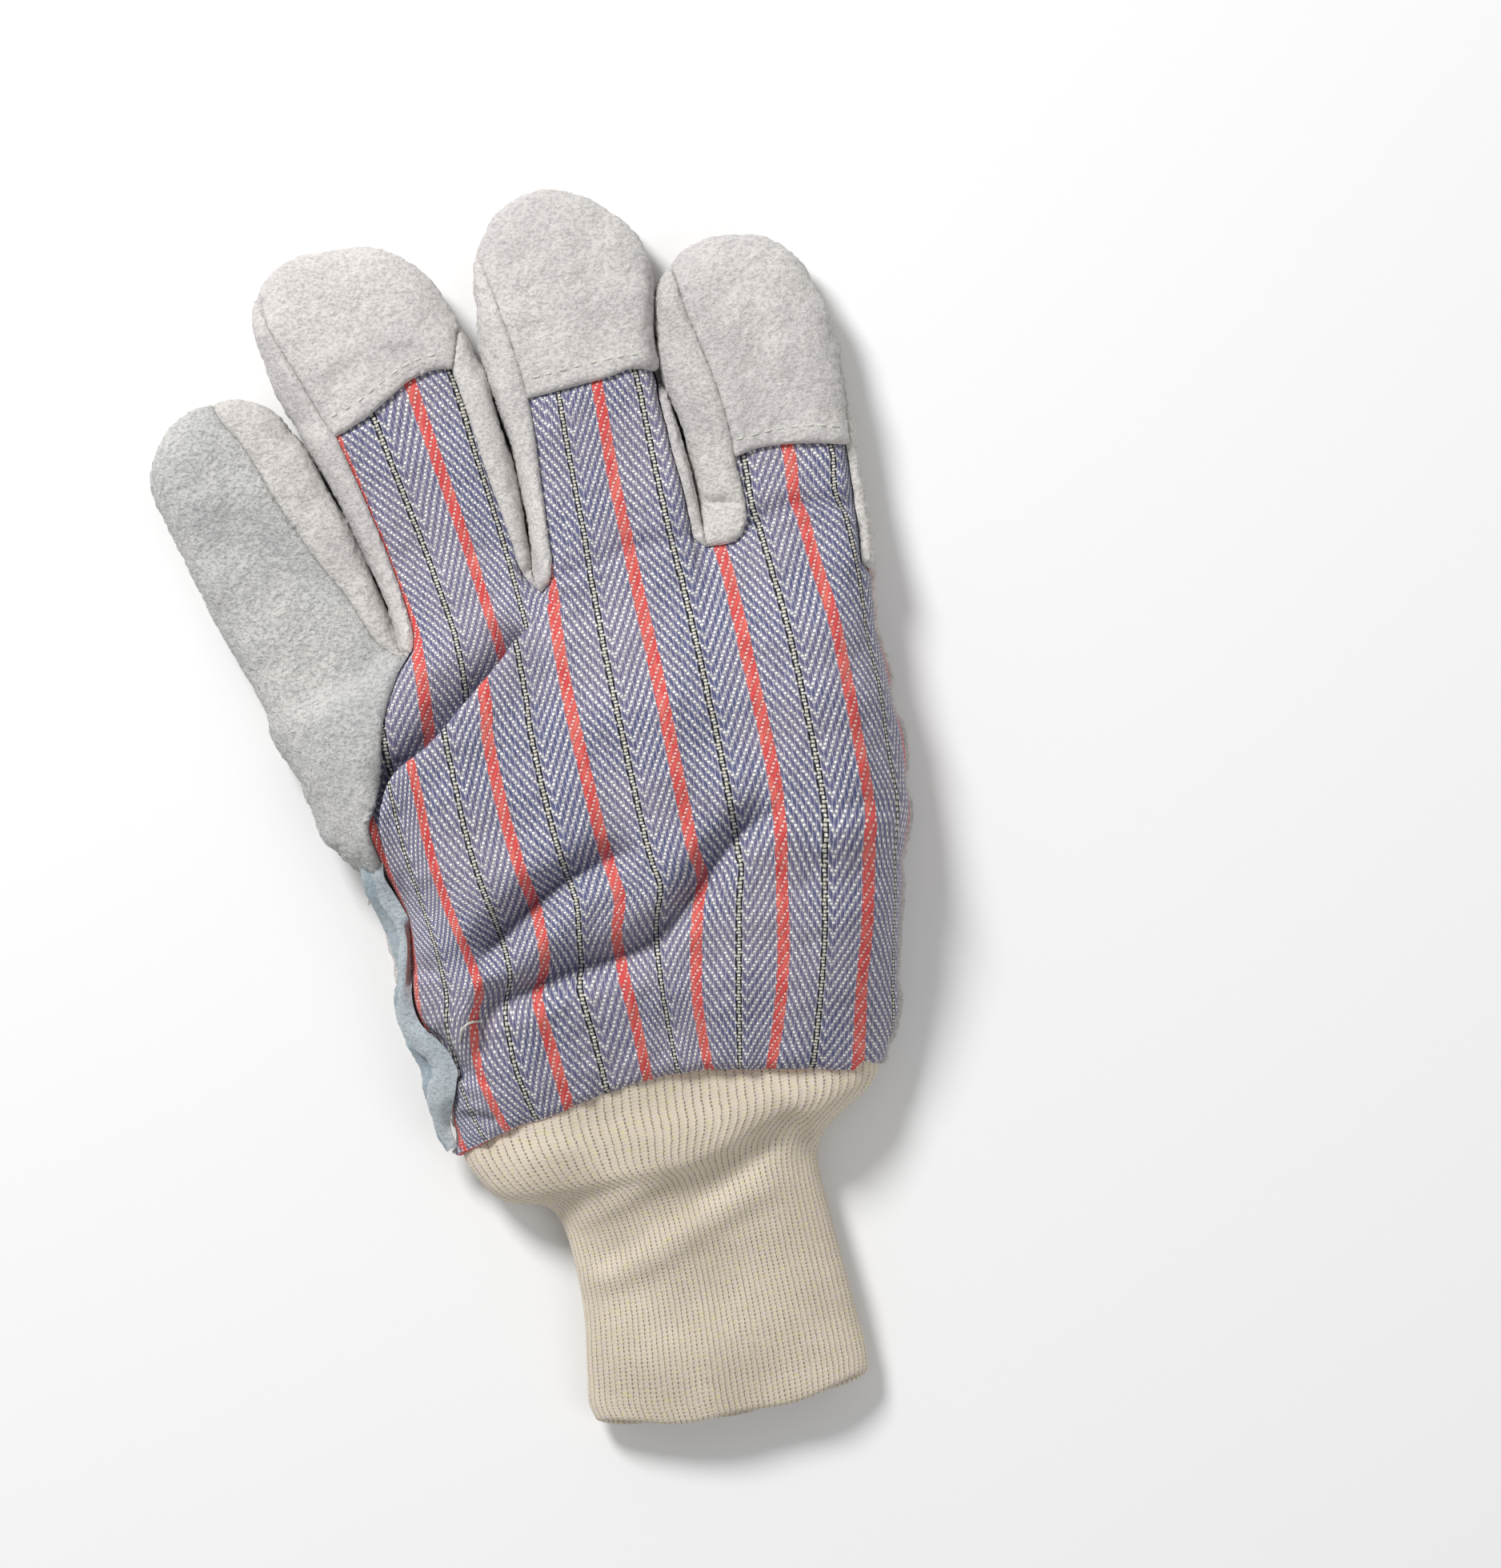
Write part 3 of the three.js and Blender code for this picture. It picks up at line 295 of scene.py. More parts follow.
def line_distance(line, x, y, full=False):
    """Distance to an open line, signed (positive on its right when walked). full adds the way along it, its
    length, and the direction to its right."""
    p = np.asarray(line, float)
    best = np.full(x.shape, 1e9)
    sign = np.ones(x.shape)
    along = np.zeros(x.shape)
    right = np.zeros(x.shape + (2,))
    run = 0.0
    for (ax, ay), (bx, by) in zip(p[:-1, :2], p[1:, :2]):
        dx, dy = bx - ax, by - ay
        long = math.hypot(dx, dy)
        if long < 1e-9:
            continue
        t = np.clip(((x - ax) * dx + (y - ay) * dy) / long**2, 0, 1)
        d = np.hypot(x - ax - t * dx, y - ay - t * dy)
        near = d < best
        best = np.where(near, d, best)
        sign = np.where(near, np.where((x - ax) * dy - (y - ay) * dx >= 0, 1.0, -1.0), sign)
        if full:
            along = np.where(near, run + t * long, along)
            right[near] = (dy / long, -dx / long)
        run += long
    return (best * sign, along, run, right) if full else best * sign


def inside_distance(polygon, x, y):
    """Distance to a closed outline, positive inside."""
    p = np.asarray(polygon, float)
    q = np.roll(p, -1, axis=0)
    best = np.full(x.shape, 1e9)
    inside = np.zeros(x.shape, bool)
    for (ax, ay), (bx, by) in zip(p, q):
        dx, dy = bx - ax, by - ay
        square = dx * dx + dy * dy
        if square < 1e-12:
            continue
        t = np.clip(((x - ax) * dx + (y - ay) * dy) / square, 0, 1)
        best = np.minimum(best, np.hypot(x - ax - t * dx, y - ay - t * dy))
        if ay != by:
            crossing = ((ay > y) != (by > y)) & (x < dx * (y - ay) / dy + ax)
            inside ^= crossing
    return np.where(inside, best, -best)


def waves(x, y, *parts, count=22):
    """A smooth random field over the plan. Each part is a height, a seed and a wavelength in millimetres."""
    total = np.zeros(np.shape(x))
    for height, seed, wavelength in parts:
        g = np.random.default_rng(seed)
        angle = g.uniform(0, 2 * math.pi, count)
        size = 2 * math.pi / (wavelength * g.uniform(0.75, 1.5, count))
        phase = g.uniform(0, 2 * math.pi, count)
        out = np.zeros(np.shape(x))
        for a, k, f in zip(angle, size, phase):
            out += np.sin(k * (math.cos(a) * x + math.sin(a) * y) + f)
        total += height * math.sqrt(2 / count) * out
    return total


def fold_rise(folds, x, y):
    """The folds at places in plan: how far they rise, how far they lap sideways, and the shade of their creases."""
    total = np.zeros(x.shape)
    crease = np.zeros(x.shape)
    slide = np.zeros(x.shape + (2,))
    for f in folds:
        line = smooth_line(f["line"], 1.5)
        reach = 3 * max(f["up"][0], f["down"][0])
        low, high = line.min(0) - reach, line.max(0) + reach
        near = (x > low[0]) & (x < high[0]) & (y > low[1]) & (y < high[1])
        d, along, run, right = line_distance(line, x[near], y[near], True)
        ends = ramp(0, f["fade"], along) * ramp(0, f["fade"], run - along)
        full_width = 1.0
        if f["narrow"]:
            full_width = ramp(0.5 * f["narrow"], f["narrow"], along)
            d = d / (0.2 + 0.8 * full_width)
        up = f["up"][1] * np.exp(-((d / f["up"][0]) ** 2))
        down = f["down"][1] * np.exp(-((d / f["down"][0]) ** 2))
        side = 0.5 + 0.5 * np.tanh(d / f["turn"])
        lap = f["lap"] * full_width
        total[near] += ends * (up * (1 - side) + down * side)
        shade = np.where(d < 0, np.exp(np.minimum(d + 0.9 * lap, 0) / SHADE_UP), np.exp(-d / SHADE_DOWN))
        crease[near] = np.maximum(crease[near], f["dark"] * ends * shade)
        slide[near] -= (ends * lap * side * np.exp(-((d / LAP_WIDTH) ** 2)))[..., None] * right
    return total, slide, crease


def table_at(rows, y):
    """Value of a table of y and value at some y."""
    rows = np.array(sorted(rows), float)
    return np.interp(y, rows[:, 0], rows[:, 1])


# ---- The form ----
HAND_OUTLINE = smooth_line(HAND_SIDES, 1.5, True)
THUMB_OUTLINE = smooth_line(THUMB, 1.5, True)
TOP_LINE = smooth_line(HAND_TOP, 2)
BETWEEN_RING_AND_LITTLE = smooth_line(
    [(41, 30), (41, 50), (40.8, 60), (40.5, 70), (39.3, 80), (37.7, 91), (38.7, 106), (39, 120)], 2)
BETWEEN_MIDDLE_AND_RING = smooth_line(
    [(3.2, 20), (3.6, 50), (4, 60), (4, 70), (3.5, 80), (2, 90), (0.8, 99), (0, 110), (0, 140)], 2)
BETWEEN_INDEX_AND_MIDDLE = smooth_line(
    [(-26, 20), (-26.5, 39), (-27.4, 46), (-29, 55), (-33, 70), (-37, 82), (-39.4, 89), (-46, 104), (-52, 125)], 2)
# the parts of these lines where neighbouring fingers touch
TOUCHING = (BETWEEN_RING_AND_LITTLE[:-8], BETWEEN_MIDDLE_AND_RING[:-24], BETWEEN_INDEX_AND_MIDDLE[:-20])


def palm_under(thumb_distance):
    """Height of the palm's underside, lifted where the thumb lies below it."""
    return FLOOR_LEVEL + (PALM_OVER_THUMB - FLOOR_LEVEL) * ramp(-23, -4, thumb_distance)


def split_height(x, y):
    """Height of the outline, where the upper and the lower side meet."""
    left = 1 - ramp(0, 30, x)
    raised = ramp(-68, -46, y) * (1 - ramp(2, 26, y))
    return EDGE_LEVEL + EDGE_OVER_THUMB * left * raised


def middle_height(distance, edge, crown, under):
    """Height of the surface that parts the upper side from the lower side, at some distance from the outline."""
    return edge + ramp(0, 16, distance) * (np.maximum(edge, under + 0.35 * (crown - under)) - edge)


def bag(z, distance, width, crown, under, edge, power=2.2, end=None):
    """A closed cushion over an outline: positive inside, about a millimetre per unit near the surface. It
    reaches its crown where distance is width, and is round or boxy by power."""
    middle = middle_height(distance, edge, crown, under)
    low = np.minimum(under, middle - 1.5)
    q = np.clip(1 - distance / width, 0, None) ** power
    if end is not None:
        q = q + np.clip(1 - end / 8, 0, None) ** power
    rise = np.where(z > middle[..., None], (z - middle[..., None]) / (crown - middle)[..., None],
                    (middle[..., None] - z) / (middle - low)[..., None])
    s = (q[..., None] + rise**power) ** (1 / power)
    return (1 - s) * np.broadcast_to(np.minimum(width, 8.0), distance.shape)[..., None]


def smooth_max(a, b, k):
    """The larger of two fields, rounded over about k millimetres where they meet."""
    h = np.clip(0.5 + 0.5 * (a - b) / k, 0, 1)
    return b + (a - b) * h + k * h * (1 - h)


def form_field():
    """Grid axes, and the fields of the hand and of the folded thumb on the grid, positive inside."""
    gx = np.arange(-80, 84, CELL)
    gy = np.arange(-76, 138, CELL)
    gz = np.arange(-1.5, 37, CELL)
    x, y = np.meshgrid(gx, gy, indexing="ij")
    z = gz[None, None, :]
    d_thumb = inside_distance(THUMB_OUTLINE, x, y)
    under = palm_under(d_thumb)
    edge = split_height(x, y)
    side = inside_distance(HAND_OUTLINE, x, y)
    along_top = line_distance(TOP_LINE, x, y)
    body = bag(z, side, HAND_ROLL, table_at(HAND_CROWN, y), under, edge, 2.3, along_top)
    touching = np.minimum.reduce([abs(line_distance(line, x, y)) for line in TOUCHING])
    roll = FINGER_ROLL + FREE_FINGER_ROLL * ramp(3.5, 10, touching)
    fingers = None
    for outline, crown in ((INDEX, INDEX_CROWN), (MIDDLE, MIDDLE_CROWN), (RING, RING_CROWN), (LITTLE, LITTLE_CROWN)):
        d = inside_distance(smooth_line(outline, 1.5, True), x, y) - LEATHER_RISE - FINGER_GAP / 2
        one = bag(z, d, roll, table_at(crown, y), under, edge, 2.5)
        fingers = one if fingers is None else np.maximum(fingers, one)
    whole = smooth_max(body, fingers, FINGER_BLEND)
    root = 1 - ramp(-36, -22, x)
    floor = np.full(x.shape, FLOOR_LEVEL)
    thumb = bag(z, d_thumb - LEATHER_RISE, THUMB_ROLL, THUMB_TOP + 7 * root, floor, 6 + 4 * root)
    return (gx, gy, gz), whole, thumb


def grid_start(axes):
    return np.array([axis[0] for axis in axes])


def surface_net(field, axes):
    """Vertices and quads where the field crosses 0, faces out (the field is positive inside)."""
    shape = np.array(field.shape)
    cells = shape - 1
    count = np.zeros(cells.prod())
    total = np.zeros((cells.prod(), 3))
    quads = []
    for axis in range(3):
        a = np.moveaxis(field, axis, 0)[:-1]
        b = np.moveaxis(field, axis, 0)[1:]
        cross = (a > 0) != (b > 0)
        va, vb = a[cross], b[cross]
        others = [k for k in range(3) if k != axis]
        idx = np.zeros((len(va), 3), int)
        idx[:, [axis] + others] = np.argwhere(cross)
        point = idx.astype(float)
        point[:, axis] += va / (va - vb)
        corners = []
        for i, j in ((-1, -1), (0, -1), (0, 0), (-1, 0)):
            cell = idx.copy()
            cell[:, others[0]] += i
            cell[:, others[1]] += j
            flat = (cell[:, 0] * cells[1] + cell[:, 1]) * cells[2] + cell[:, 2]
            corners.append(flat)
            count += np.bincount(flat, minlength=count.size)
            for k in range(3):
                total[:, k] += np.bincount(flat, weights=point[:, k], minlength=count.size)
        quad = np.stack(corners, 1)
        flip = (va > 0) if axis != 1 else (va <= 0)
        quad[~flip] = quad[~flip][:, ::-1]
        quads.append(quad)
    used = np.flatnonzero(count)
    number = np.full(count.size, -1)
    number[used] = np.arange(used.size)
    return total[used] / count[used][:, None] * CELL + grid_start(axes), number[np.vstack(quads)]


def neighbour_mean(vertices, edges, values, passes, share):
    """Laplacian smoothing of values over the mesh."""
    n = len(vertices)
    degree = np.bincount(edges.ravel(), minlength=n).astype(float)
    for _ in range(passes):
        mean = np.zeros_like(values)
        for k in range(values.shape[1]):
            mean[:, k] = np.bincount(edges[:, 0], weights=values[edges[:, 1], k], minlength=n)
            mean[:, k] += np.bincount(edges[:, 1], weights=values[edges[:, 0], k], minlength=n)
        values = values + share * (mean / degree[:, None] - values)
    return values


def edges_of(t):
    pairs = np.vstack([t[:, [i, (i + 1) % 3]] for i in range(3)])
    return np.unique(np.sort(pairs, 1), axis=0)


def split_quads(v, quads):
    """Triangles from quads, cut along the shorter diagonal."""
    ac = np.linalg.norm(v[quads[:, 0]] - v[quads[:, 2]], axis=1)
    bd = np.linalg.norm(v[quads[:, 1]] - v[quads[:, 3]], axis=1)
    one, two = quads[ac <= bd], quads[ac > bd]
    return np.vstack([one[:, [0, 1, 2]], one[:, [0, 2, 3]], two[:, [0, 1, 3]], two[:, [1, 2, 3]]])


def vertex_normals(v, t):
    n = np.cross(v[t[:, 1]] - v[t[:, 0]], v[t[:, 2]] - v[t[:, 0]])
    out = np.zeros_like(v)
    for k in range(3):
        for c in range(3):
            out[:, c] += np.bincount(t[:, k], weights=n[:, c], minlength=len(v))
    return out / np.maximum(np.linalg.norm(out, axis=1), 1e-12)[:, None]


def only_used(v, t, a):
    """A mesh without the vertices that none of its triangles has."""
    used = np.unique(t)
    number = np.full(len(v), -1)
    number[used] = np.arange(used.size)
    return v[used], number[t], a[used]


def clip(v, t, a, g, snap=0.08):
    """The part of a triangle mesh where g is positive. a holds one row of values per vertex, and a vertex that
    is nearly on the cut counts as on it, so that no slivers arise."""
    g = np.where(np.abs(g) < snap, 0.0, g)
    keep = g >= 0
    inside = keep[t].sum(1)
    whole = t[inside == 3]
    cut = t[(inside == 1) | (inside == 2)]
    odd = np.where(keep[cut].sum(1) == 1, np.argmax(keep[cut], 1), np.argmin(keep[cut], 1))
    rows = np.arange(len(cut))
    turned = np.stack([cut[rows, (odd + k) % 3] for k in range(3)], 1)
    pairs = np.vstack([turned[:, [0, 1]], turned[:, [0, 2]]])
    unique, back = np.unique(np.sort(pairs, 1), axis=0, return_inverse=True)
    back = back.ravel()
    g0, g1 = g[unique[:, 0]], g[unique[:, 1]]
    share = np.where(g0 == g1, 0.0, g0 / np.where(g0 == g1, 1, g0 - g1))[:, None]
    new_v = v[unique[:, 0]] * (1 - share) + v[unique[:, 1]] * share
    new_a = a[unique[:, 0]] * (1 - share) + a[unique[:, 1]] * share
    name = np.where(g0 == 0, unique[:, 0], np.where(g1 == 0, unique[:, 1], len(v) + np.arange(len(unique))))
    first, second = name[back[: len(cut)]], name[back[len(cut):]]
    lone = keep[turned[:, 0]]
    pair = ~lone
    tris = np.vstack([
        whole, np.stack([turned[lone, 0], first[lone], second[lone]], 1),
        np.stack([turned[pair, 1], turned[pair, 2], second[pair]], 1),
        np.stack([turned[pair, 1], second[pair], first[pair]], 1),
    ])
    good = (tris[:, 0] != tris[:, 1]) & (tris[:, 1] != tris[:, 2]) & (tris[:, 2] != tris[:, 0])
    return only_used(np.vstack([v, new_v]), tris[good], np.vstack([a, new_a]))


def largest_part(v, t, a):
    """The connected part with the most triangles, so that crumbs along a cut are left out."""
    label = np.arange(len(v))
    while True:
        low = label[t].min(1)
        new = label.copy()
        for k in range(3):
            np.minimum.at(new, t[:, k], low)
        new = new[new]
        if (new == label).all():
            break
        label = new
    names, sizes = np.unique(label[t[:, 0]], return_counts=True)
    return only_used(v, t[label[t[:, 0]] == names[sizes.argmax()]], a)


def border_edges(t):
    """Directed edges that only one triangle has."""
    directed = np.vstack([t[:, [0, 1]], t[:, [1, 2]], t[:, [2, 0]]])
    _, back, count = np.unique(np.sort(directed, 1), axis=0, return_inverse=True, return_counts=True)
    return directed[count[back.ravel()] == 1]


def border_distance(v, t):
    """Distance of each vertex to the border of its piece."""
    border = border_edges(t)
    points = np.vstack([v[border[:, 0]], 0.5 * (v[border[:, 0]] + v[border[:, 1]])])
    tree = KDTree(len(points))
    for i, p in enumerate(points):
        tree.insert(p, i)
    tree.balance()
    return np.array([tree.find(p)[2] for p in v])


# ---- Blender objects ----
ARROW = np.array([CENTRE[0], CENTRE[1], 0.0])


def make_object(name, v, faces, material, uv=None, sharp=50, crease=None):
    """A mesh object in metres in the row frame, from millimetres in the frame of the tables. uv has a row for
    each corner of each face."""
    mesh = bpy.data.meshes.new(name)
    mesh.from_pydata(((v - ARROW) / 1000).tolist(), [], faces.tolist() if hasattr(faces, "tolist") else faces)
    mesh.update()
    if uv is not None:
        mesh.uv_layers.new(name="yarn").data.foreach_set("uv", uv.astype(np.float32).ravel())
    # crease carries the painted shade of the cloth's creases, one value per vertex
    if crease is not None:
        mesh.attributes.new("crease", "FLOAT", "POINT").data.foreach_set("value", crease.astype(np.float32))
    mesh.shade_smooth()
    mesh.set_sharp_from_angle(angle=math.radians(sharp))
    obj = bpy.data.objects.new(name, mesh)
    bpy.context.collection.objects.link(obj)
    mesh.materials.append(material)
    return obj


def with_thickness(v, t, normals, outer, inner):
    """A closed skin between two offsets of a patch. Returns vertices and triangles."""
    n = len(v)
    top = v + normals * outer[:, None]
    low = v + normals * inner[:, None]
    a, b = border_edges(t).T
    walls = np.vstack([np.stack([b, a, a + n], 1), np.stack([b, a + n, b + n], 1)])
    return np.vstack([top, low]), np.vstack([t, t[:, ::-1] + n, walls])


# ---- Materials ----
class Wire:
    """An output of a shader node that can be calculated with."""

    def __init__(self, nodes, socket):
        self.nodes, self.socket = nodes, socket

    def __add__(self, other):
        return self.nodes.math("ADD", self, other)

    def __sub__(self, other):
        return self.nodes.math("SUBTRACT", self, other)

    def __rsub__(self, other):
        return self.nodes.math("SUBTRACT", other, self)

    def __mul__(self, other):
        return self.nodes.math("MULTIPLY", self, other)

    def __truediv__(self, other):
        return self.nodes.math("DIVIDE", self, other)

    def __mod__(self, other):
        return self.nodes.math("FLOORED_MODULO", self, other)

    def __abs__(self):
        return self.nodes.math("ABSOLUTE", self)

    def floor(self):
        return self.nodes.math("FLOOR", self)

    def fract(self):
        return self.nodes.math("FRACT", self)

    def root(self):
        return self.nodes.math("SQRT", self)


class Nodes:
    """Short names for building a procedural material."""

    def __init__(self, name):
        self.material = bpy.data.materials.new(name)
        self.material.use_nodes = True
        self.tree = self.material.node_tree
        self.tree.nodes.clear()
        self.surface = self.tree.nodes.new("ShaderNodeBsdfPrincipled")
        self.tree.links.new(self.surface.outputs[0], self.tree.nodes.new("ShaderNodeOutputMaterial").inputs[0])

    def node(self, kind, output=0, **inputs):
        """A node with its inputs set or linked, by name or as in_0, in_1 and so on. Returns one output."""
        node = self.tree.nodes.new("ShaderNode" + kind)
        for key, value in inputs.items():
            self.put(node.inputs[int(key[3:]) if key.startswith("in_") else key], value)
        return node, Wire(self, node.outputs[output])

    def put(self, socket, value):
        if isinstance(value, Wire):
            self.tree.links.new(value.socket, socket)
        else:
            socket.default_value = value

    def math(self, operation, a, b=0.0, c=0.0, clamp=False):
        node, out = self.node("Math", in_0=a, in_1=b, in_2=c)
        node.operation = operation
        node.use_clamp = clamp
        return out

    def span(self, value, low, high, to_low=0.0, to_high=1.0):
        """A smooth step from one value to another as the input goes from low to high."""
        node, out = self.node("MapRange", in_0=value, in_1=low, in_2=high, in_3=to_low, in_4=to_high)
        node.interpolation_type = "SMOOTHSTEP"
        return out

    def mix(self, share, a, b):
        node = self.tree.nodes.new("ShaderNodeMix")
        node.data_type = "RGBA"
        for k, value in ((0, share), (6, a), (7, b)):  # the factor and the two colour inputs
            self.put(node.inputs[k], value)
        return Wire(self, node.outputs[2])

    def coats(self, color, *coats):
        """A colour with others over it, each with its share."""
        for share, coat in coats:
            color = self.mix(share, color, coat)
        return color

    def yarn(self):
        """Yarn coordinates across and along."""
        node, out = self.node("UVMap")
        node.uv_map = "yarn"
        parts, across = self.node("SeparateXYZ", in_0=out)
        return across, Wire(self, parts.outputs[1])

    def attribute(self, name):
        node, out = self.node("Attribute", "Fac")
        node.attribute_name = name
        return out

    def noise(self, per_metre, detail=2.0, rough=0.5, stretch=None):
        """Noise over the object. stretch is three scales and a turn in degrees."""
        place = self.node("TexCoord", "Object")[1]
        if stretch is not None:
            turn = (0, 0, math.radians(stretch[3]))
            place = self.node("Mapping", Vector=place, Rotation=turn, Scale=stretch[:3])[1]
        return self.node("TexNoise", "Fac", Vector=place, Scale=per_metre, Detail=detail, Roughness=rough)[1]

    def random(self, x, y, z):
        place = self.node("CombineXYZ", in_0=x, in_1=y, in_2=z)[1]
        return self.node("TexWhiteNoise", "Value", Vector=place)[1]

    def finish(self, color, roughness, bump=None, **values):
        """The material. bump is a height, its distance in metres and its strength."""
        self.put(self.surface.inputs["Base Color"], color)
        self.surface.inputs["Roughness"].default_value = roughness
        if bump is not None:
            height, distance, strength = bump
            normal = self.node("Bump", Strength=strength, Distance=distance, Height=height)[1]
            self.put(self.surface.inputs["Normal"], normal)
        for key, value in values.items():
            self.surface.inputs[key.replace("_", " ")].default_value = value
        return self.material


def rgb(r, g, b):
    """Linear colour from 8-bit sRGB numbers."""
    def one(v):
        v /= 255
        return v / 12.92 if v <= 0.04045 else ((v + 0.055) / 1.055) ** 2.4
    return (one(r), one(g), one(b), 1.0)


def suede(name, light, dark, fleck, nap=1.0):
    """Split leather: soft mottling, short lighter and darker hairs of nap and a fine bump."""
    n = Nodes(name)
    broad, middle, fine = n.noise(38, 4, 0.55), n.noise(330, 3, 0.6), n.noise(1500, 3, 0.7)
    hairs = n.noise(1100, 5, 0.72, (1.0, 1.4, 1.0, 20))
    pale_hairs = n.noise(1300, 5, 0.75, (1.5, 1.0, 1.0, -35))
    color = n.mix(n.span(broad, 0.35, 0.68), light, dark)
    color = n.coats(
        color, (n.span(middle, 0.45, 0.72) * 0.4, dark), (n.span(hairs, 0.54, 0.72) * (0.6 * nap), fleck),
        (n.span(pale_hairs, 0.54, 0.72) * 0.6, rgb(238, 234, 226)),
        (n.span(fine, 0.55, 0.75) * 0.3, rgb(236, 232, 224)))
    height = middle * 0.45 + fine * 0.6 - n.span(hairs, 0.45, 0.75) * 0.4 + pale_hairs * 0.25
    bump = (height, 0.0006 * nap, 0.75)
    return n.finish(color, 0.95, bump, Specular_IOR_Level=0.15, Sheen_Weight=0.25, Sheen_Roughness=0.6)


def striped_cotton(name):
    """Herringbone twill: ends and picks counted from the yarn coordinates in millimetres."""
    n = Nodes(name)
    u, v = n.yarn()
    drift, shake = n.noise(60, 2, 0.5) - 0.5, n.noise(420, 2, 0.6) - 0.5
    u = u + shake * 0.5
    v = v + drift * 1.2 + shake * 0.35
    # c counts ends from the start of a period, and a counts them as the twill goes, up and down again
    c = (u / STRIPE_PITCH - RED_ENDS / 2 / STRIPE_ENDS).fract() * STRIPE_ENDS
    a = n.math("MINIMUM", c, STRIPE_ENDS + 2 - c)
    picks = v / PICK
    row, pick = picks.floor(), picks.fract()
    end, period = c.floor(), (u / STRIPE_PITCH).floor()
    # the weft's dots between the floats of the warp
    over = (a + row) % TWILL
    slant_number = a + row - over
    dot_seed = n.random(slant_number, row, period)
    jolt = n.random(row, slant_number, 7.0)
    across = (over - 1.0 + (jolt - 0.5) * 0.4) / 0.82
    up = (pick * 2.0 - 1.0 + (dot_seed - 0.5) * 0.35) / 0.74
    oval = 1.0 - (across * across + up * up)
    dot = n.span(oval, 0.0, 0.45)
    # the diagonal line of floats, and the dark between two lines
    slant = abs((a + picks) % TWILL - 1.5)
    float_x = a.fract() * 2.0 - 1.0
    float_y = ((a.floor() + picks) % TWILL - 3.0) / 1.25
    round_x, round_y = (n.math("SUBTRACT", 1.0, q * q, clamp=True).root() for q in (float_x, float_y))
    warp_high = round_x * round_y
    # the blue ground, faded in places, with a paler end between two blue ones
    end_seed = n.random(end, period, 3.0)
    slub = n.noise(260, 3, 0.6, (3.0, 0.5, 1.0, 0))
    blue = n.mix(n.span(n.noise(42, 4, 0.6), 0.38, 0.62), rgb(94, 100, 138), rgb(142, 128, 152))
    odd = end % 2.0 * n.span(abs(float_x), 0.75, 0.35)
    blue = n.coats(
        blue, (end_seed * 0.35, rgb(122, 128, 168)), (odd * 0.62, rgb(206, 200, 212)),
        (n.span(slub, 0.45, 0.75) * 0.4, rgb(160, 152, 178)), (n.span(slant, 1.3, 0.4, 0.0, 0.62), rgb(204, 200, 208)),
        (n.span(slant, 1.3, 2.1, 0.0, 0.45), rgb(66, 72, 112)))
    # the red stripe, and the two black lines with cream between them
    red = n.mix(n.span(slub, 0.35, 0.7), rgb(226, 82, 80), rgb(240, 122, 110))
    in_red = n.math("GREATER_THAN", c, STRIPE_ENDS - RED_ENDS)
    line_a, line_b = (n.math("COMPARE", c, at, 0.46) for at in (16.45, 18.75))
    gap_at = (pick + line_b * 0.5).fract()
    in_black = n.math("ADD", line_a, line_b, clamp=True) * n.span(abs(gap_at - 0.5), 0.47, 0.3, 0.8, 1.0)
    dash = n.span(abs(pick - 0.5), 0.46, 0.2)
    warp = n.coats(
        n.mix(in_red, blue, red),
        (n.math("COMPARE", c, 17.6, 0.7), n.mix(dash, rgb(76, 74, 70), rgb(230, 225, 208))),
        (in_black, rgb(26, 26, 26)))
    # painted shade where each warp float dips under the weft, darker away from the float's middle
    warp = n.mix((1.0 - warp_high) * 0.5, warp, n.mix(0.6, warp, rgb(36, 38, 66)))
    weft = n.mix(dot_seed, rgb(210, 212, 206), rgb(252, 251, 244))
    weft = n.coats(weft, (in_red * 0.5, rgb(250, 150, 130)), (in_black * 0.5, rgb(140, 136, 122)))
    color = n.mix(dot * n.span(dot_seed, 0.0, 0.3, 0.6, 1.0), warp, weft)
    # painted shade in the folds' creases: the crease value darkens the cloth towards navy
    color = n.mix(n.attribute("crease") * 0.85, color, n.mix(0.88, color, rgb(22, 28, 66)))
    height = n.math("MAXIMUM", warp_high * 0.75, n.math("MAXIMUM", oval, 0.0).root()) + n.noise(2600, 2, 0.6) * 0.5
    bump = (height, 0.00018, 0.8)
    return n.finish(color, 0.88, bump, Specular_IOR_Level=0.2, Sheen_Weight=0.15, Sheen_Roughness=0.5)


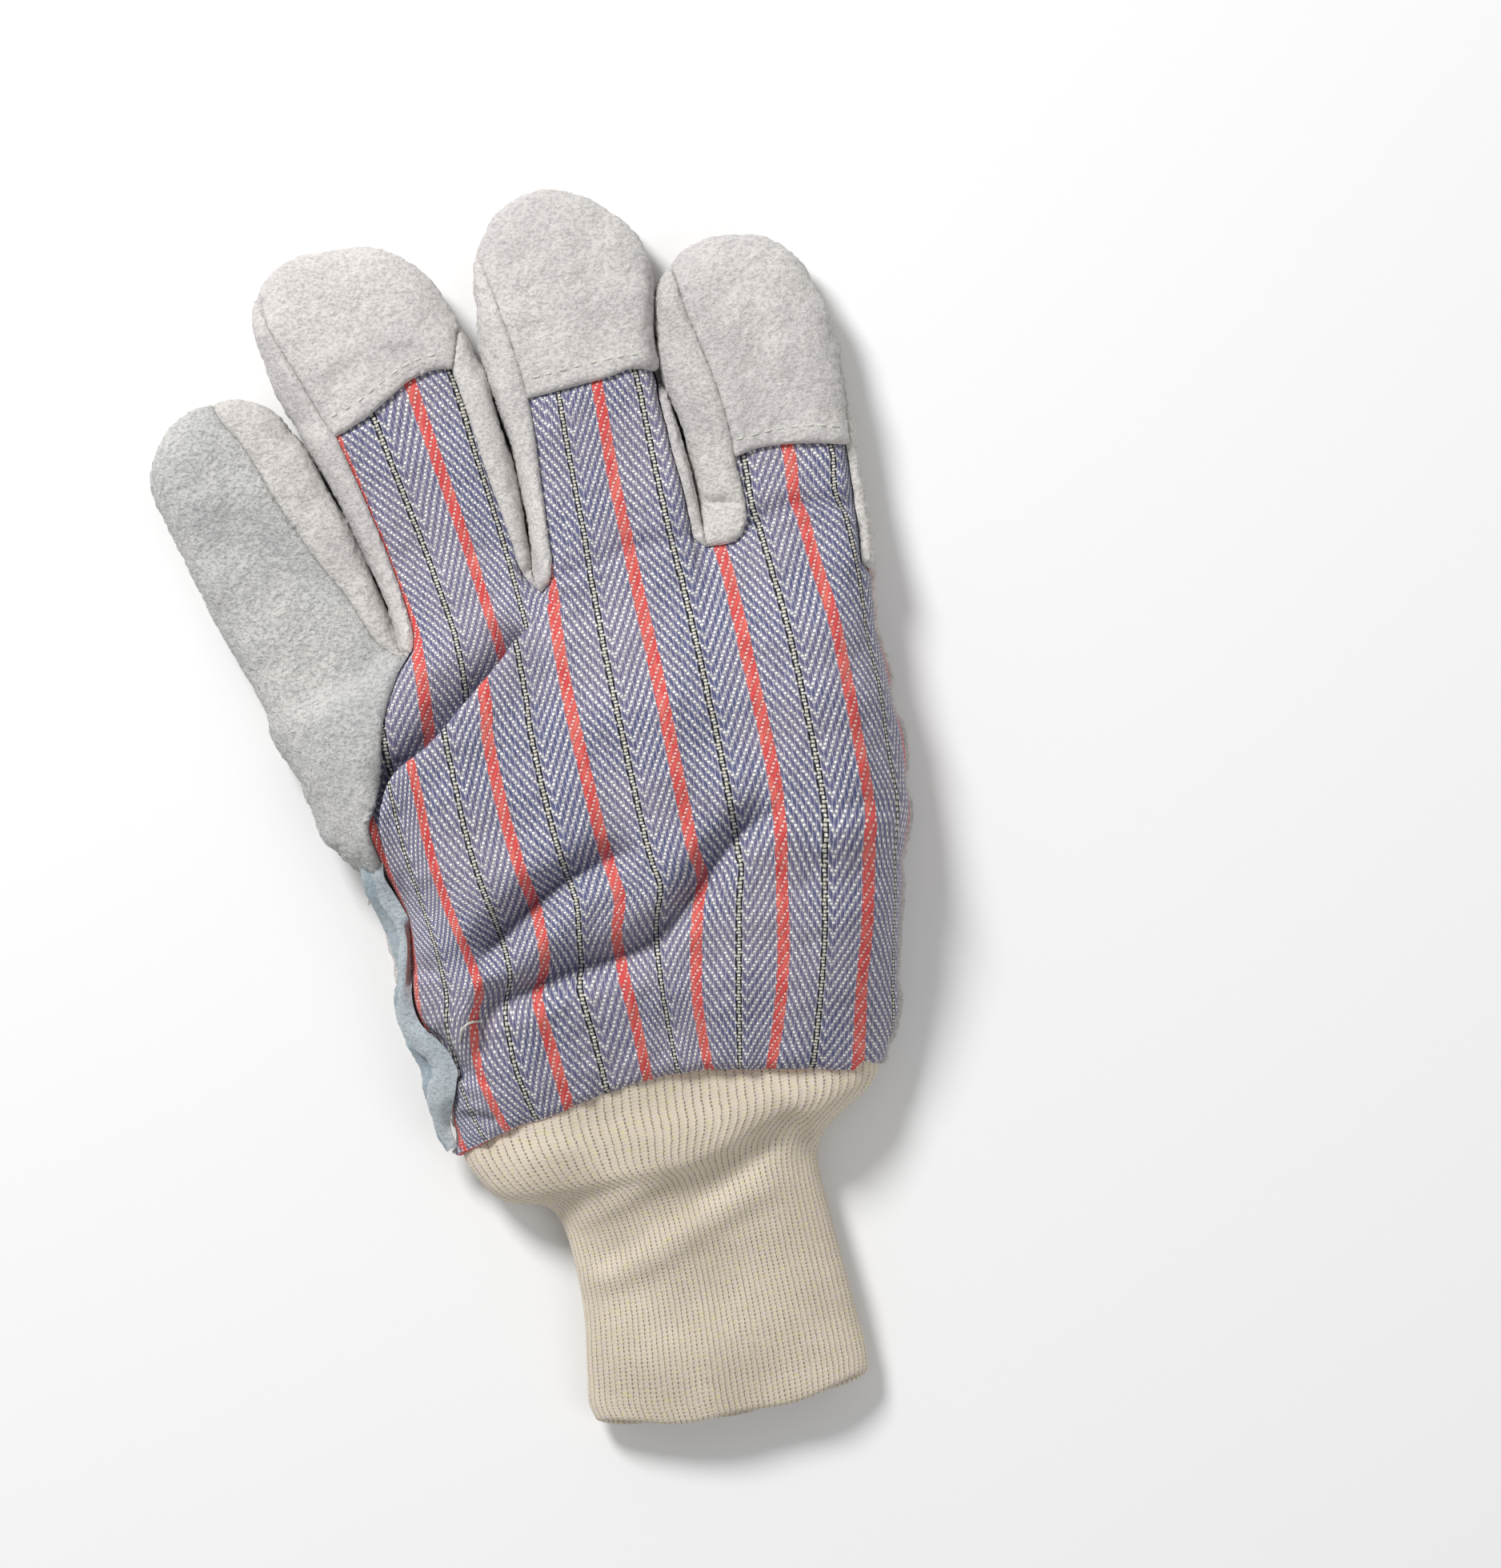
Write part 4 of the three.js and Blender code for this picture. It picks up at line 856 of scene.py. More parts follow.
def ribbed_knit(name):
    """Cream rib knit: smooth ribs of faint chevron stitches, painted shade along the furrows, and short dashes of
    painted shadow in them.
    """
    n = Nodes(name)
    u, v = n.yarn()
    shake = n.noise(520, 2, 0.6) - 0.5
    u = u + shake * 0.35
    v = v + shake * 0.5
    aside, rib = abs(u.fract() - 0.5), u.floor()
    row = v / STITCH_ROW + aside * 1.1 + n.random(rib, 2.0, 5.0)
    wave = 1.0 - abs(row.fract() * 2.0 - 1.0)
    seed = n.random(rib, row.floor(), 1.0)
    hole = n.span(aside, 0.37, 0.47) * n.span(wave, 0.75, 0.3) * n.span(seed, 0.0, 0.7, 0.25, 1.0)
    broad, speck = n.noise(55, 4, 0.6), n.noise(1000, 2, 0.6)
    color = n.mix(n.span(broad, 0.35, 0.65), rgb(222, 210, 191), rgb(207, 195, 176))
    # the specks are the yarn's own; the last two coats are painted shade along each rib's sides, in the furrows, and
    # painted shadow in the dashes
    color = n.coats(
        color, (n.span(speck, 0.56, 0.70) * 0.6, rgb(214, 208, 152)),
            (n.span(speck, 0.44, 0.32) * 0.6, rgb(214, 194, 196)),
        (n.span(aside, 0.33, 0.5) * 0.16, rgb(150, 138, 120)), (hole * 0.85, rgb(104, 94, 78)))
    height = wave * 0.16 - hole * 0.7 + n.noise(1500, 2, 0.6) * 0.35 - aside * aside * 0.7
    bump = (height, 0.0003, 0.8)
    return n.finish(color, 0.95, bump, Specular_IOR_Level=0.15, Sheen_Weight=0.3, Sheen_Roughness=0.5)


def thread(name, color):
    n = Nodes(name)
    tone = n.mix(n.noise(900, 2), color, rgb(170, 170, 160))
    return n.finish(tone, 0.8, (n.noise(2500, 2), 0.0002, 0.6), Specular_IOR_Level=0.2)


LEATHER = suede("pale_suede", rgb(219, 214, 210), rgb(204, 199, 197), rgb(164, 163, 176))
INDEX_LEATHER = suede("index_suede", rgb(211, 209, 205), rgb(187, 188, 187), rgb(142, 149, 160), 1.5)
PALM_LEATHER = suede("palm_suede", rgb(222, 217, 212), rgb(207, 202, 199), rgb(168, 168, 178), 1.2)
# the hem's upper ply: the leather's own colour with a painted bluish shade over it, darker and bluer than the palm
HEM_LEATHER_IN_BLUE_SHADE = suede("hem_suede_blue_shade", rgb(192, 201, 205), rgb(176, 187, 194), rgb(144, 157, 170), 1.0)
SHADED_LEATHER = suede("shaded_suede", rgb(164, 177, 184), rgb(146, 161, 170), rgb(124, 140, 152), 0.7)
COTTON = striped_cotton("herringbone")
KNIT = ribbed_knit("cream_rib")
THREAD = thread("white_thread", rgb(236, 236, 226))

# ---- The form's surface ----
axes, whole, thumb = form_field()
vertices, quads = surface_net(smooth_max(whole, thumb, THUMB_BLEND), axes)


def interpolate(grid, at):
    """Linear value of a grid of two or three axes at places given in grid steps, a row each."""
    at = np.clip(at, 0, np.array(grid.shape) - 1.001)
    low = at.astype(int)
    f = at - low
    total = 0
    for corner in np.ndindex(*(2,) * grid.ndim):
        total = total + np.prod(np.where(corner, f, 1 - f), axis=1) * grid[tuple((low + corner).T)]
    return total


triangles = split_quads(vertices, quads)
edges = edges_of(triangles)
for share in (0.5, -0.53) * 4 + (0.3,):  # smoothing that doesn't shrink the form, then a little that does
    vertices = neighbour_mean(vertices, edges, vertices, 1, share)
at = (vertices - grid_start(axes)) / CELL
thumb_side = interpolate(thumb, at) - interpolate(whole, at)
x, y, z = vertices.T
side = inside_distance(HAND_OUTLINE, x, y)
edge_height = split_height(x, y)
under = palm_under(inside_distance(THUMB_OUTLINE, x, y))
upness = z - np.where(side > 0, middle_height(side, edge_height, table_at(HAND_CROWN, y), under), edge_height)
normals = vertex_normals(vertices, triangles)
facing = ramp(0.15, 0.7, normals[:, 2]) * (upness > 0)
rise, slide, crease = fold_rise(FOLDS, x, y)
rise = rise + waves(x, y, (0.5, 2, 34), (0.3, 3, 15), (0.1, 5, 5))
on_cloth = inside_distance(joined(
    CLOTH_LEFT, CLOTH_MIDDLE_LEFT, MIDDLE_CAP_EDGE, CLOTH_MIDDLE_RIGHT, CLOTH_RING_LEFT, RING_CAP_EDGE,
    CLOTH_RING_RIGHT, CLOTH_LITTLE_LEFT, LITTLE_CAP_EDGE, CLOTH_RIGHT), x, y)
cloth_share = ramp(-4, 2, on_cloth)
leather_rise = fold_rise(DENTS, x, y)[0] + waves(x, y, (0.28, 11, 17), (0.07, 12, 6))
seam_y = np.interp(x, *np.array(CUFF_SEAM, float).T)
pucker = PUCKER * np.sin(x * 2 * math.pi / PUCKER_PITCH + waves(x, y, (1.5, 8, 20)))
pucker = pucker * np.exp(-(((y - seam_y) / PUCKER_REACH) ** 2))
rise = rise * cloth_share + leather_rise * (1 - cloth_share) + pucker * cloth_share
below = (1 - ramp(-0.2, 0.4, normals[:, 2])) * waves(x, y, (0.3, 21, 16), (0.15, 22, 6))
move = facing * rise + below * ramp(1.2, 4, z)  # the underside stays flat where it lies on the floor
vertices = vertices + normals * move[:, None]
vertices[:, :2] += slide * (facing * cloth_share)[:, None]
vertices[:, 2] = np.maximum(vertices[:, 2], FLOOR_LEVEL)
vertices = neighbour_mean(vertices, edges, vertices, 1, 0.4)
normals = vertex_normals(vertices, triangles)
nap = neighbour_mean(vertices, edges, rng.normal(0, 1, (len(vertices), 1)), 1, 0.35)[:, 0]

FOLD_SPLIT = smooth_line([(-60, -40), (-38, -20)] + FOLDS[0]["line"] + [(6, 46.5), (12, 52), (12, 140)], 1.5)
fields = dict(
    nx=normals[:, 0], ny=normals[:, 1], nz=normals[:, 2], x=x, y=y, z=vertices[:, 2], up=upness, thumb=thumb_side,
    nap=nap, cloth=on_cloth, crease=crease * facing, cuff=y - seam_y)
for name, outline in (
    ("index", joined(INDEX_BACK + INDEX_BACK[:1])),
    ("middle_cap", joined(MIDDLE_CAP_LEFT, MIDDLE_CAP_RIGHT, MIDDLE_CAP_EDGE[::-1])),
    ("ring_cap", joined(RING_CAP_LEFT, RING_CAP_RIGHT, RING_CAP_EDGE[::-1])),
    ("little_cap", joined(LITTLE_CAP_LEFT, LITTLE_CAP_RIGHT, LITTLE_CAP_EDGE[::-1])),
):
    fields[name] = inside_distance(outline, x, y)
for name, line in (
    ("fold", FOLD_SPLIT), ("welt", smooth_line(WELT_LINE, 1.5)), ("thumb_seam", smooth_line(THUMB[:10], 1.5)),
    ("ring_little", BETWEEN_RING_AND_LITTLE), ("middle_ring", BETWEEN_MIDDLE_AND_RING),
    ("index_middle", BETWEEN_INDEX_AND_MIDDLE),
):
    fields[name] = line_distance(line, x, y)
fields["covered"] = np.maximum.reduce([fields[k] for k in ("cloth", "index", "middle_cap", "ring_cap", "little_cap")])
COLUMN = {name: k for k, name in enumerate(fields)}
values = np.column_stack(list(fields.values()))


class Row:
    """The fields of a cut piece's vertices by name."""

    def __init__(self, a):
        self.a = a

    def __getattr__(self, name):
        return self.a[:, COLUMN[name]]

    def normals(self):
        n = self.a[:, :3]
        return n / np.linalg.norm(n, axis=1)[:, None]


def cut_piece(*tests):
    """The part of the form's skin where every test's value is positive."""
    v, t, a = vertices, triangles, values
    for test in tests:
        v, t, a = clip(v, t, a, test(Row(a)))
    return largest_part(v, t, a)


def above_seam(f):
    return f.cuff


def not_thumb(f):
    return -f.thumb


def is_up(f):
    return f.up


def leather_side(f):
    """Positive on the lower side, and on the upper side outside every top piece."""
    return np.maximum(-f.up, -f.covered)


def beyond_welt(f):
    """Positive on the finger side of the welt, or on the upper side beyond the crotches."""
    return np.where(f.up > 0, f.y - 41.0, -f.welt)


def rounded(d, rise, reach, low):
    """Offset of a skin that turns down to its edge."""
    t = np.clip(d / reach, 0, 1)
    return low + (rise - low) * np.sqrt(1 - (1 - t) ** 2)


skins = {}  # the outer side of each piece, for lines that look for it


def declare(obj, replaced=None):
    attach(obj, "root")
    if replaced:
        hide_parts(replaced)


def leather_piece(name, material, replaced, *tests, reach=0.9, low=0.0):
    v, t, a = cut_piece(*tests)
    n = Row(a).normals()
    d = border_distance(v, t)
    puff = PUFF * np.exp(-(((d - PUFF_AT) / PUFF_REACH) ** 2))
    outer = rounded(d, LEATHER_RISE, reach, low) + puff + NAP * Row(a).nap
    inner = np.minimum(LEATHER_RISE - LEATHER_THICK, outer - 0.35)
    solid, faces = with_thickness(v, t, n, outer, inner)
    solid[:, 2] = np.maximum(solid[:, 2], 0.02)
    declare(make_object(name, solid, faces, material), replaced)
    skins[name] = (v + n * outer[:, None], t)


# ---- Cloth ----
def stripe_map(stripes, x, y):
    """Yarn coordinate across the cloth, in mm, from the stripe table."""
    place = np.array([np.interp(y, *np.array(sorted(s), float).T) for s in stripes])
    gap = np.diff(place, axis=0)
    last = len(stripes) - 1
    u = last + (x - place[-1]) / gap[-1]
    for k in reversed(range(last)):
        u = np.where(x < place[k + 1], k + (x - place[k]) / gap[k], u)
    return np.where(x < place[0], (x - place[0]) / gap[0], u) * STRIPE_PITCH


def smooth_table(stripes):
    """The same stripes, sampled along smooth curves."""
    return [smooth_line(sorted(s)).tolist() for s in stripes]


STRIPES_LOW = smooth_table(STRIPES_LOW)
STRIPES_HIGH = smooth_table(STRIPES_HIGH) + STRIPES_LOW[4:]  # no stripe further right crosses the lapped fold
yarn_x = np.arange(-70, 90, 1.0)
yarn_y = np.arange(-80, 112, 1.0)


def pick_grid(stripes, passes=260):
    """Yarn coordinate along the cloth on a grid, so that picks stay square to the stripes."""
    gx, gy = np.meshgrid(yarn_x, yarn_y, indexing="ij")
    ux, uy = np.gradient(stripe_map(stripes, gx, gy), 1.0)
    lean = np.clip(-uy / ux, -0.5, 0.5)
    for _ in range(passes):
        lean[1:-1, 1:-1] = 0.5 * lean[1:-1, 1:-1] + 0.125 * (
            lean[:-2, 1:-1] + lean[2:, 1:-1] + lean[1:-1, :-2] + lean[1:-1, 2:])
    run = np.cumsum(lean, axis=0)
    return gy + run - run[np.argmin(abs(yarn_x - 20))]


def wall_run(p, pace=3.0, turn=4.0):
    """How much further than in plan the cloth runs as it turns down over the little finger's side. It is
    measured in slices pace millimetres apart, along arcs of turn degrees."""
    angle = np.degrees(np.arctan2(p[:, 2] - WALL_AXIS[1], p[:, 0] - WALL_AXIS[0]))
    steps = np.arange(62, -30, -turn)
    rows = np.arange(-60, 76, pace)
    extra = np.zeros((len(rows), len(steps)))
    for k, y in enumerate(rows):
        path = [WALL_AXIS]
        for step in steps:
            near = (abs(p[:, 1] - y) < pace) & (abs(angle - step) < turn)
            path.append((p[near, 0].mean(), p[near, 2].mean()) if near.any() else path[-1])
        dx, dz = np.diff(path[1:], axis=0).T
        extra[k, 1:] = np.cumsum(np.hypot(dx, dz) - dx)
    extra[1:-1] = 0.25 * extra[:-2] + 0.5 * extra[1:-1] + 0.25 * extra[2:]
    return interpolate(extra, np.column_stack([(p[:, 1] - rows[0]) / pace, (steps[0] - angle) / turn]))


v, t, a = cut_piece(above_seam, lambda f: f.cloth + TUCK, is_up, not_thumb)
halves, corner_uv, count = [], [], 0
for sign, stripes in ((1, STRIPES_LOW), (-1, STRIPES_HIGH)):
    hv, ht, ha = clip(v, t, a, sign * Row(a).fold)
    across = stripe_map(stripes, hv[:, 0], hv[:, 1]) + wall_run(hv)
    along = interpolate(pick_grid(stripes), hv[:, :2] - (yarn_x[0], yarn_y[0]))
    corner_uv.append(np.column_stack([across, along])[ht.ravel()])
    halves.append((hv, ht + count, ha))
    count += len(hv)
v, t, a = (np.vstack(part) for part in zip(*halves))
corner_uv = np.vstack(corner_uv)
# the two halves share the vertices along the cut again, and keep their own yarn coordinates
_, first, back = np.unique(np.round(v, 4), axis=0, return_index=True, return_inverse=True)
v, a, t = v[first], a[first], back.ravel()[t]
n = Row(a).normals()
# the cloth sinks at its seams, and runs on below the caps
to_edge = Row(a).cloth
outer = np.where(to_edge > 0, -0.95 * np.exp(-((to_edge / 1.2) ** 2)), -1.0)
outer = np.minimum(outer, -0.9 * np.exp(-(Row(a).cuff ** 2)))
solid, faces = with_thickness(v, t, n, outer, np.minimum(outer - CLOTH_THICK, -CLOTH_THICK))
walls = len(faces) - 2 * len(t)
corner_uv = np.vstack([corner_uv, corner_uv.reshape(-1, 3, 2)[:, ::-1].reshape(-1, 2), np.zeros((walls * 3, 2))])
# the painted shade of the creases, for the upper and the lower skin
shade = np.tile(Row(a).crease, 2)
declare(make_object("striped_back", solid, faces, COTTON, corner_uv, crease=shade), "back_cloth")
skins["cloth"] = (v + n * outer[:, None], t)

# ---- Leather ----
leather_piece("index_leather", INDEX_LEATHER, "index_back", above_seam, lambda f: f.index, is_up, not_thumb)
for name, node in (
    ("middle_fingertip_cap", "middle_cap"), ("ring_fingertip_cap", "ring_cap"), ("little_fingertip_cap", "little_cap"),
):
    leather_piece(name, LEATHER, node, lambda f: getattr(f, node), is_up, reach=1.0)
leather_piece("middle_leather", LEATHER, "middle_front", leather_side, lambda f: f.index_middle,
              lambda f: -f.middle_ring, beyond_welt, not_thumb)
leather_piece("ring_leather", LEATHER, "ring_front", leather_side, lambda f: f.middle_ring,
              lambda f: -f.ring_little, beyond_welt, not_thumb)


def palm_only(f):
    """Positive off the middle and ring fronts."""
    return -np.minimum.reduce([f.index_middle, -f.ring_little, beyond_welt(f)])


leather_piece("palm_and_little_leather", PALM_LEATHER, "palm_leather", above_seam, leather_side, palm_only, not_thumb)


def thumb_under(f):
    """Positive on the thumb's lower piece, whose seam lies under the edge towards the fingers."""
    return np.minimum(6.0 - f.z, np.abs(f.thumb_seam) - 5.5 + 0.6 * np.maximum(f.z - 3, 0))


leather_piece("thumb_under_leather", PALM_LEATHER, "thumb_back", lambda f: f.thumb, thumb_under, reach=1.1, low=-0.35)
leather_piece("thumb_top_leather", PALM_LEATHER, "thumb_front", lambda f: f.thumb, lambda f: -thumb_under(f),
              reach=1.1, low=-0.35)


# ---- Welt, hem, cuff, stitches ----
def tube_faces(rows, k):
    """Faces between rings of k points, and one at each end."""
    sides = [(i * k + j, i * k + (j + 1) % k, (i + 1) * k + (j + 1) % k, (i + 1) * k + j)
             for i in range(rows - 1) for j in range(k)]
    return sides + [tuple(range(k))[::-1], tuple((rows - 1) * k + j for j in range(k))]


def sweep(line, up, profile, wobble=0.0):
    """A closed profile swept along a line of points; profile columns are across and up."""
    p = np.asarray(line, float)
    along = np.gradient(p, axis=0)
    along /= np.linalg.norm(along, axis=1)[:, None]
    across = np.cross(along, np.full(p.shape, up, float))
    across /= np.linalg.norm(across, axis=1)[:, None]
    up = np.cross(across, along)
    rings = []
    for i in range(len(p)):
        shape = np.array(profile) * (1 + wobble * rng.normal(0, 1, (len(profile), 1)))
        rings.append(p[i] + across[i] * shape[:, :1] + up[i] * shape[:, 1:])
    return np.vstack(rings), tube_faces(len(p), len(profile))


def oval(wide, high, count):
    """Points round an oval, as a profile to sweep."""
    return [(wide * math.cos(q), high * math.sin(q)) for q in np.linspace(0, 2 * math.pi, count, endpoint=False)]


def tree_of(*names):
    """The outer sides of some pieces, to send lines at."""
    points, faces, count = [], [], 0
    for v, t in (skins[name] for name in names):
        points.append(v)
        faces.append(t + count)
        count += len(v)
    return BVHTree.FromPolygons(np.vstack(points).tolist(), np.vstack(faces).tolist())


def height_on(tree, x, y, start=SKY, up=-1):
    """Height where a line straight down, or up, meets a tree, or None."""
    hit = tree.ray_cast(Vector((x, y, start)), Vector((0, 0, up)))[0]
    return None if hit is None else hit.z


def smoothed(row, half):
    """A row of numbers, each the mean of those up to half places away."""
    return np.convolve(np.pad(row, half, "edge"), np.ones(2 * half + 1) / (2 * half + 1), "valid")


under_tree = tree_of("palm_and_little_leather", "middle_leather", "ring_leather")
line = [(x, y, height_on(under_tree, x, y, 0.0, 1)) for x, y in smooth_line(WELT_LINE[:-1], 0.8)]
line = np.array([p for p in line if p[2] is not None])
line[:, 2] = np.maximum(smoothed(line[:, 2], 3), 1.1)
welt_profile = [(-1.1, -0.6), (-1.15, 0.5), (-0.8, 1.0), (0.8, 1.0), (1.15, 0.5), (1.1, -0.6)]
v, faces = sweep(line, (0, 0, -1), welt_profile, 0.05)
v[:, 2] = np.maximum(v[:, 2], 0.05)
declare(make_object("base_welt", v, faces, PALM_LEATHER), "finger_base_welt")
hem_bed = tree_of("palm_and_little_leather", "thumb_top_leather", "thumb_under_leather")


def hem_ply(name, column, drop, material):
    """One ply of the seam allowance along the thumb side, with a raw wavy edge. It lies on the leather."""
    rows = smooth_line(HEM_LINE, 0.6)
    seam, edge = rows[:, :2], rows[:, column:column + 2]
    out = edge - seam
    wide = np.linalg.norm(out, axis=1)
    out /= wide[:, None]
    wide = wide + 0.22 * np.sin(np.arange(len(rows)) * 0.37 + column) + 0.07 * rng.normal(0, 1, len(rows))
    shares = (-HEM_REACH, -0.4, 0.25, 0.5, 0.75, 0.92, 1.0)
    bed = np.repeat(table_at(HEM_HEIGHT, rows[:, 1])[:, None], len(shares), 1)
    for k in range(len(rows)):
        last = bed[k, 0]
        for i, s in enumerate(shares):
            hit = height_on(hem_bed, *(seam[k] + out[k] * max(s, 0) * wide[k]))
            last = last - 0.3 if hit is None else hit
            bed[k, i] = max(bed[k, i], last)
    top, low = [], []
    for i, s in enumerate(shares):
        padded = np.pad(bed[:, i], 4, "edge")
        highest = np.max([padded[k:k + len(rows)] for k in range(9)], axis=0)
        reach = s if s < 0 else s * wide
        at = seam + out * np.broadcast_to(reach, wide.shape)[:, None]
        curl = 0.25 * math.sin(3 * max(s, 0)) + waves(*at.T, (0.12 * max(s, 0), 31 + column, 14))
        h = smoothed(highest, 4) - drop + curl
        fat = HEM_THICK * (1 - 0.35 * (s == 1.0))
        top.append(np.column_stack([at, h + fat / 2 + 0.03 * rng.normal(0, 1, len(at))]))
        low.append(np.column_stack([at, h - fat / 2]))
    ring = np.stack(top + low[::-1], 1)
    return make_object(name, ring.reshape(-1, 3), tube_faces(*ring.shape[:2]), material, sharp=60)


# the upper ply has a painted bluish shade, the lower ply a deeper painted shade
declare(hem_ply("raw_side_hem", 2, -1.2, HEM_LEATHER_IN_BLUE_SHADE), "side_hem")
declare(hem_ply("raw_side_hem_lower", 4, -0.1, SHADED_LEATHER))


def cuff_ring(row, points, even_points):
    """One ring of the cuff: a flattened oval between two outline points."""
    left, right, (edge, top, bow) = row[:2], row[2:4], row[4:]
    middle = (left + right) / 2
    half = np.linalg.norm(right - left) / 2
    axis = (right - left) / (2 * half)
    power = 2 / 2.6
    ca, sa = np.cos(points), np.sin(points)
    across = half * np.sign(ca) * abs(ca) ** power
    height = np.where(sa > 0, (top - edge) * abs(sa) ** power, -(edge - 1.0) * abs(sa) ** power)
    shift = bow * (1 - (across / half) ** 2)
    run = np.concatenate([[0], np.cumsum(np.hypot(np.diff(across), np.diff(height)))])
    even = np.linspace(0, run[-1], even_points, endpoint=False)
    across, height, shift = (np.interp(even, run, q) for q in (across, height, shift))
    return middle, np.column_stack([
        middle[0] + axis[0] * across + axis[1] * shift, middle[1] + axis[1] * across - axis[0] * shift, edge + height])


def knit_cuff():
    """The ribbed wrist: rings of real ribs, rolled over at the hem and going back inside."""
    around = RIBS * RIB_STEPS
    rows = smooth_line([(*left, *right, *rest) for left, right, *rest in CUFF_ROWS], 0.9)
    middles, rings = zip(*[cuff_ring(row, np.linspace(0, 2 * math.pi, 721), around) for row in rows])
    v = np.array(rings)
    lengths = np.concatenate([[0], np.cumsum(np.linalg.norm(np.diff(middles, axis=0), axis=1))])
    along = np.gradient(v, axis=0)
    normal = np.cross(np.roll(v, -1, 1) - np.roll(v, 1, 1), along)
    normal /= np.linalg.norm(normal, axis=2)[..., None]
    if ((v - v.mean(axis=1, keepdims=True)) * normal).sum() < 0:
        normal = -normal
    rib = np.arange(around) / RIB_STEPS
    shape = np.cos(2 * math.pi * rib)
    shape = np.sign(shape) * np.abs(shape) ** 0.8
    up = ramp(0.1, 0.6, normal[..., 2])
    folds = fold_rise(CUFF_FOLDS, v[..., 0], v[..., 1])[0] * up
    soft = waves(v[..., 0], v[..., 1], (0.35, 41, 22)) * (up + 0.3 * (1 - up))
    outer = v + normal * (RIB_HEIGHT * shape[None, :] + 0.75 * folds + soft)[..., None]
    hem_wave = 0.5 * np.sin(np.arange(around) * 2 * math.pi / around * 5) * np.exp(-lengths / 6)[:, None]
    outer[..., 1] += hem_wave
    outer[..., 2] = np.maximum(outer[..., 2], 0.1)
    inward = v - normal * (CUFF_THICK - 0.2 * shape[None, :])[..., None] + normal * (folds + soft)[..., None]
    inward[..., 1] += hem_wave
    direction = -along[0] / np.linalg.norm(along[0], axis=1)[:, None]
    mid, half = 0.5 * (outer[0] + inward[0]), 0.5 * (outer[0] - inward[0])
    lip = [mid + half * math.cos(q) + direction * 1.05 * math.sin(q) for q in np.linspace(0, math.pi, 7)[1:-1]]
    stack = np.concatenate([outer[::-1], np.array(lip), inward[::3]])
    # the yarn runs on over the lip, 0.6 mm a ring, and down the inside
    along_uv = np.concatenate([lengths[::-1], -np.arange(1, 6) * 0.6, -3.6 - lengths[::3]])
    uv, faces = [], []
    this = np.arange(around)
    after = (this + 1) % around
    for i, (from_v, to_v) in enumerate(zip(along_uv, along_uv[1:])):
        a, b = i * around + this, i * around + after
        faces.append(np.stack([a, a + around, b + around, b], 1))
        corners = [(rib, from_v), (rib, to_v), (rib + 1 / RIB_STEPS, to_v), (rib + 1 / RIB_STEPS, from_v)]
        uv.append(np.stack([np.column_stack([u, np.full(around, w)]) for u, w in corners], 1).reshape(-1, 2))
    return make_object("ribbed_wrist", stack.reshape(-1, 3), np.vstack(faces), KNIT, np.vstack(uv), sharp=80)


declare(knit_cuff(), "knit_cuff")
cap_tree = tree_of("middle_fingertip_cap", "ring_fingertip_cap", "little_fingertip_cap")


def stitches(name, lines, pitch=3.0, length=1.9, rings=7):
    """Short raised stitches along lines on the caps, sunk at their ends."""
    points, faces, count = [], [], 0
    for line in lines:
        path = smooth_line(line, 0.25)
        run = np.concatenate([[0], np.cumsum(np.linalg.norm(np.diff(path, axis=0), axis=1))])
        at = 0.6
        while at + length < run[-1]:
            way = at + length * np.linspace(0, 1, rings)
            spine = []
            for q, (x, y) in enumerate(zip(np.interp(way, run, path[:, 0]), np.interp(way, run, path[:, 1]))):
                height = height_on(cap_tree, x, y)
                if height is None:
                    break
                spine.append((x, y, height + 0.12 - 0.55 * (2 * q / (rings - 1) - 1) ** 4))
            if len(spine) == rings:
                v, f = sweep(spine, (0, 0, 1), oval(0.24, 0.2, 6))
                points.append(v)
                faces += [tuple(i + count for i in face) for face in f]
                count += len(v)
            at += pitch * (1 + 0.08 * rng.normal())
    declare(make_object(name, np.vstack(points), faces, THREAD))


stitches("cap_stitches", [
    [(10, 94), (18, 94.6), (27, 95.2), (36.5, 95.2)],
    [(-33.5, 93), (-27, 95.3), (-21, 98.6), (-14, 101.8), (-6, 102.8)],
    [(50.2, 73.6), (60, 74.4), (68, 73.8), (74, 72.3)],
])


def loose_thread(name, points, radius):
    declare(make_object(name, *sweep(smooth_line(points, 0.5), (0, 0, 1), oval(radius, radius, 8)), THREAD))


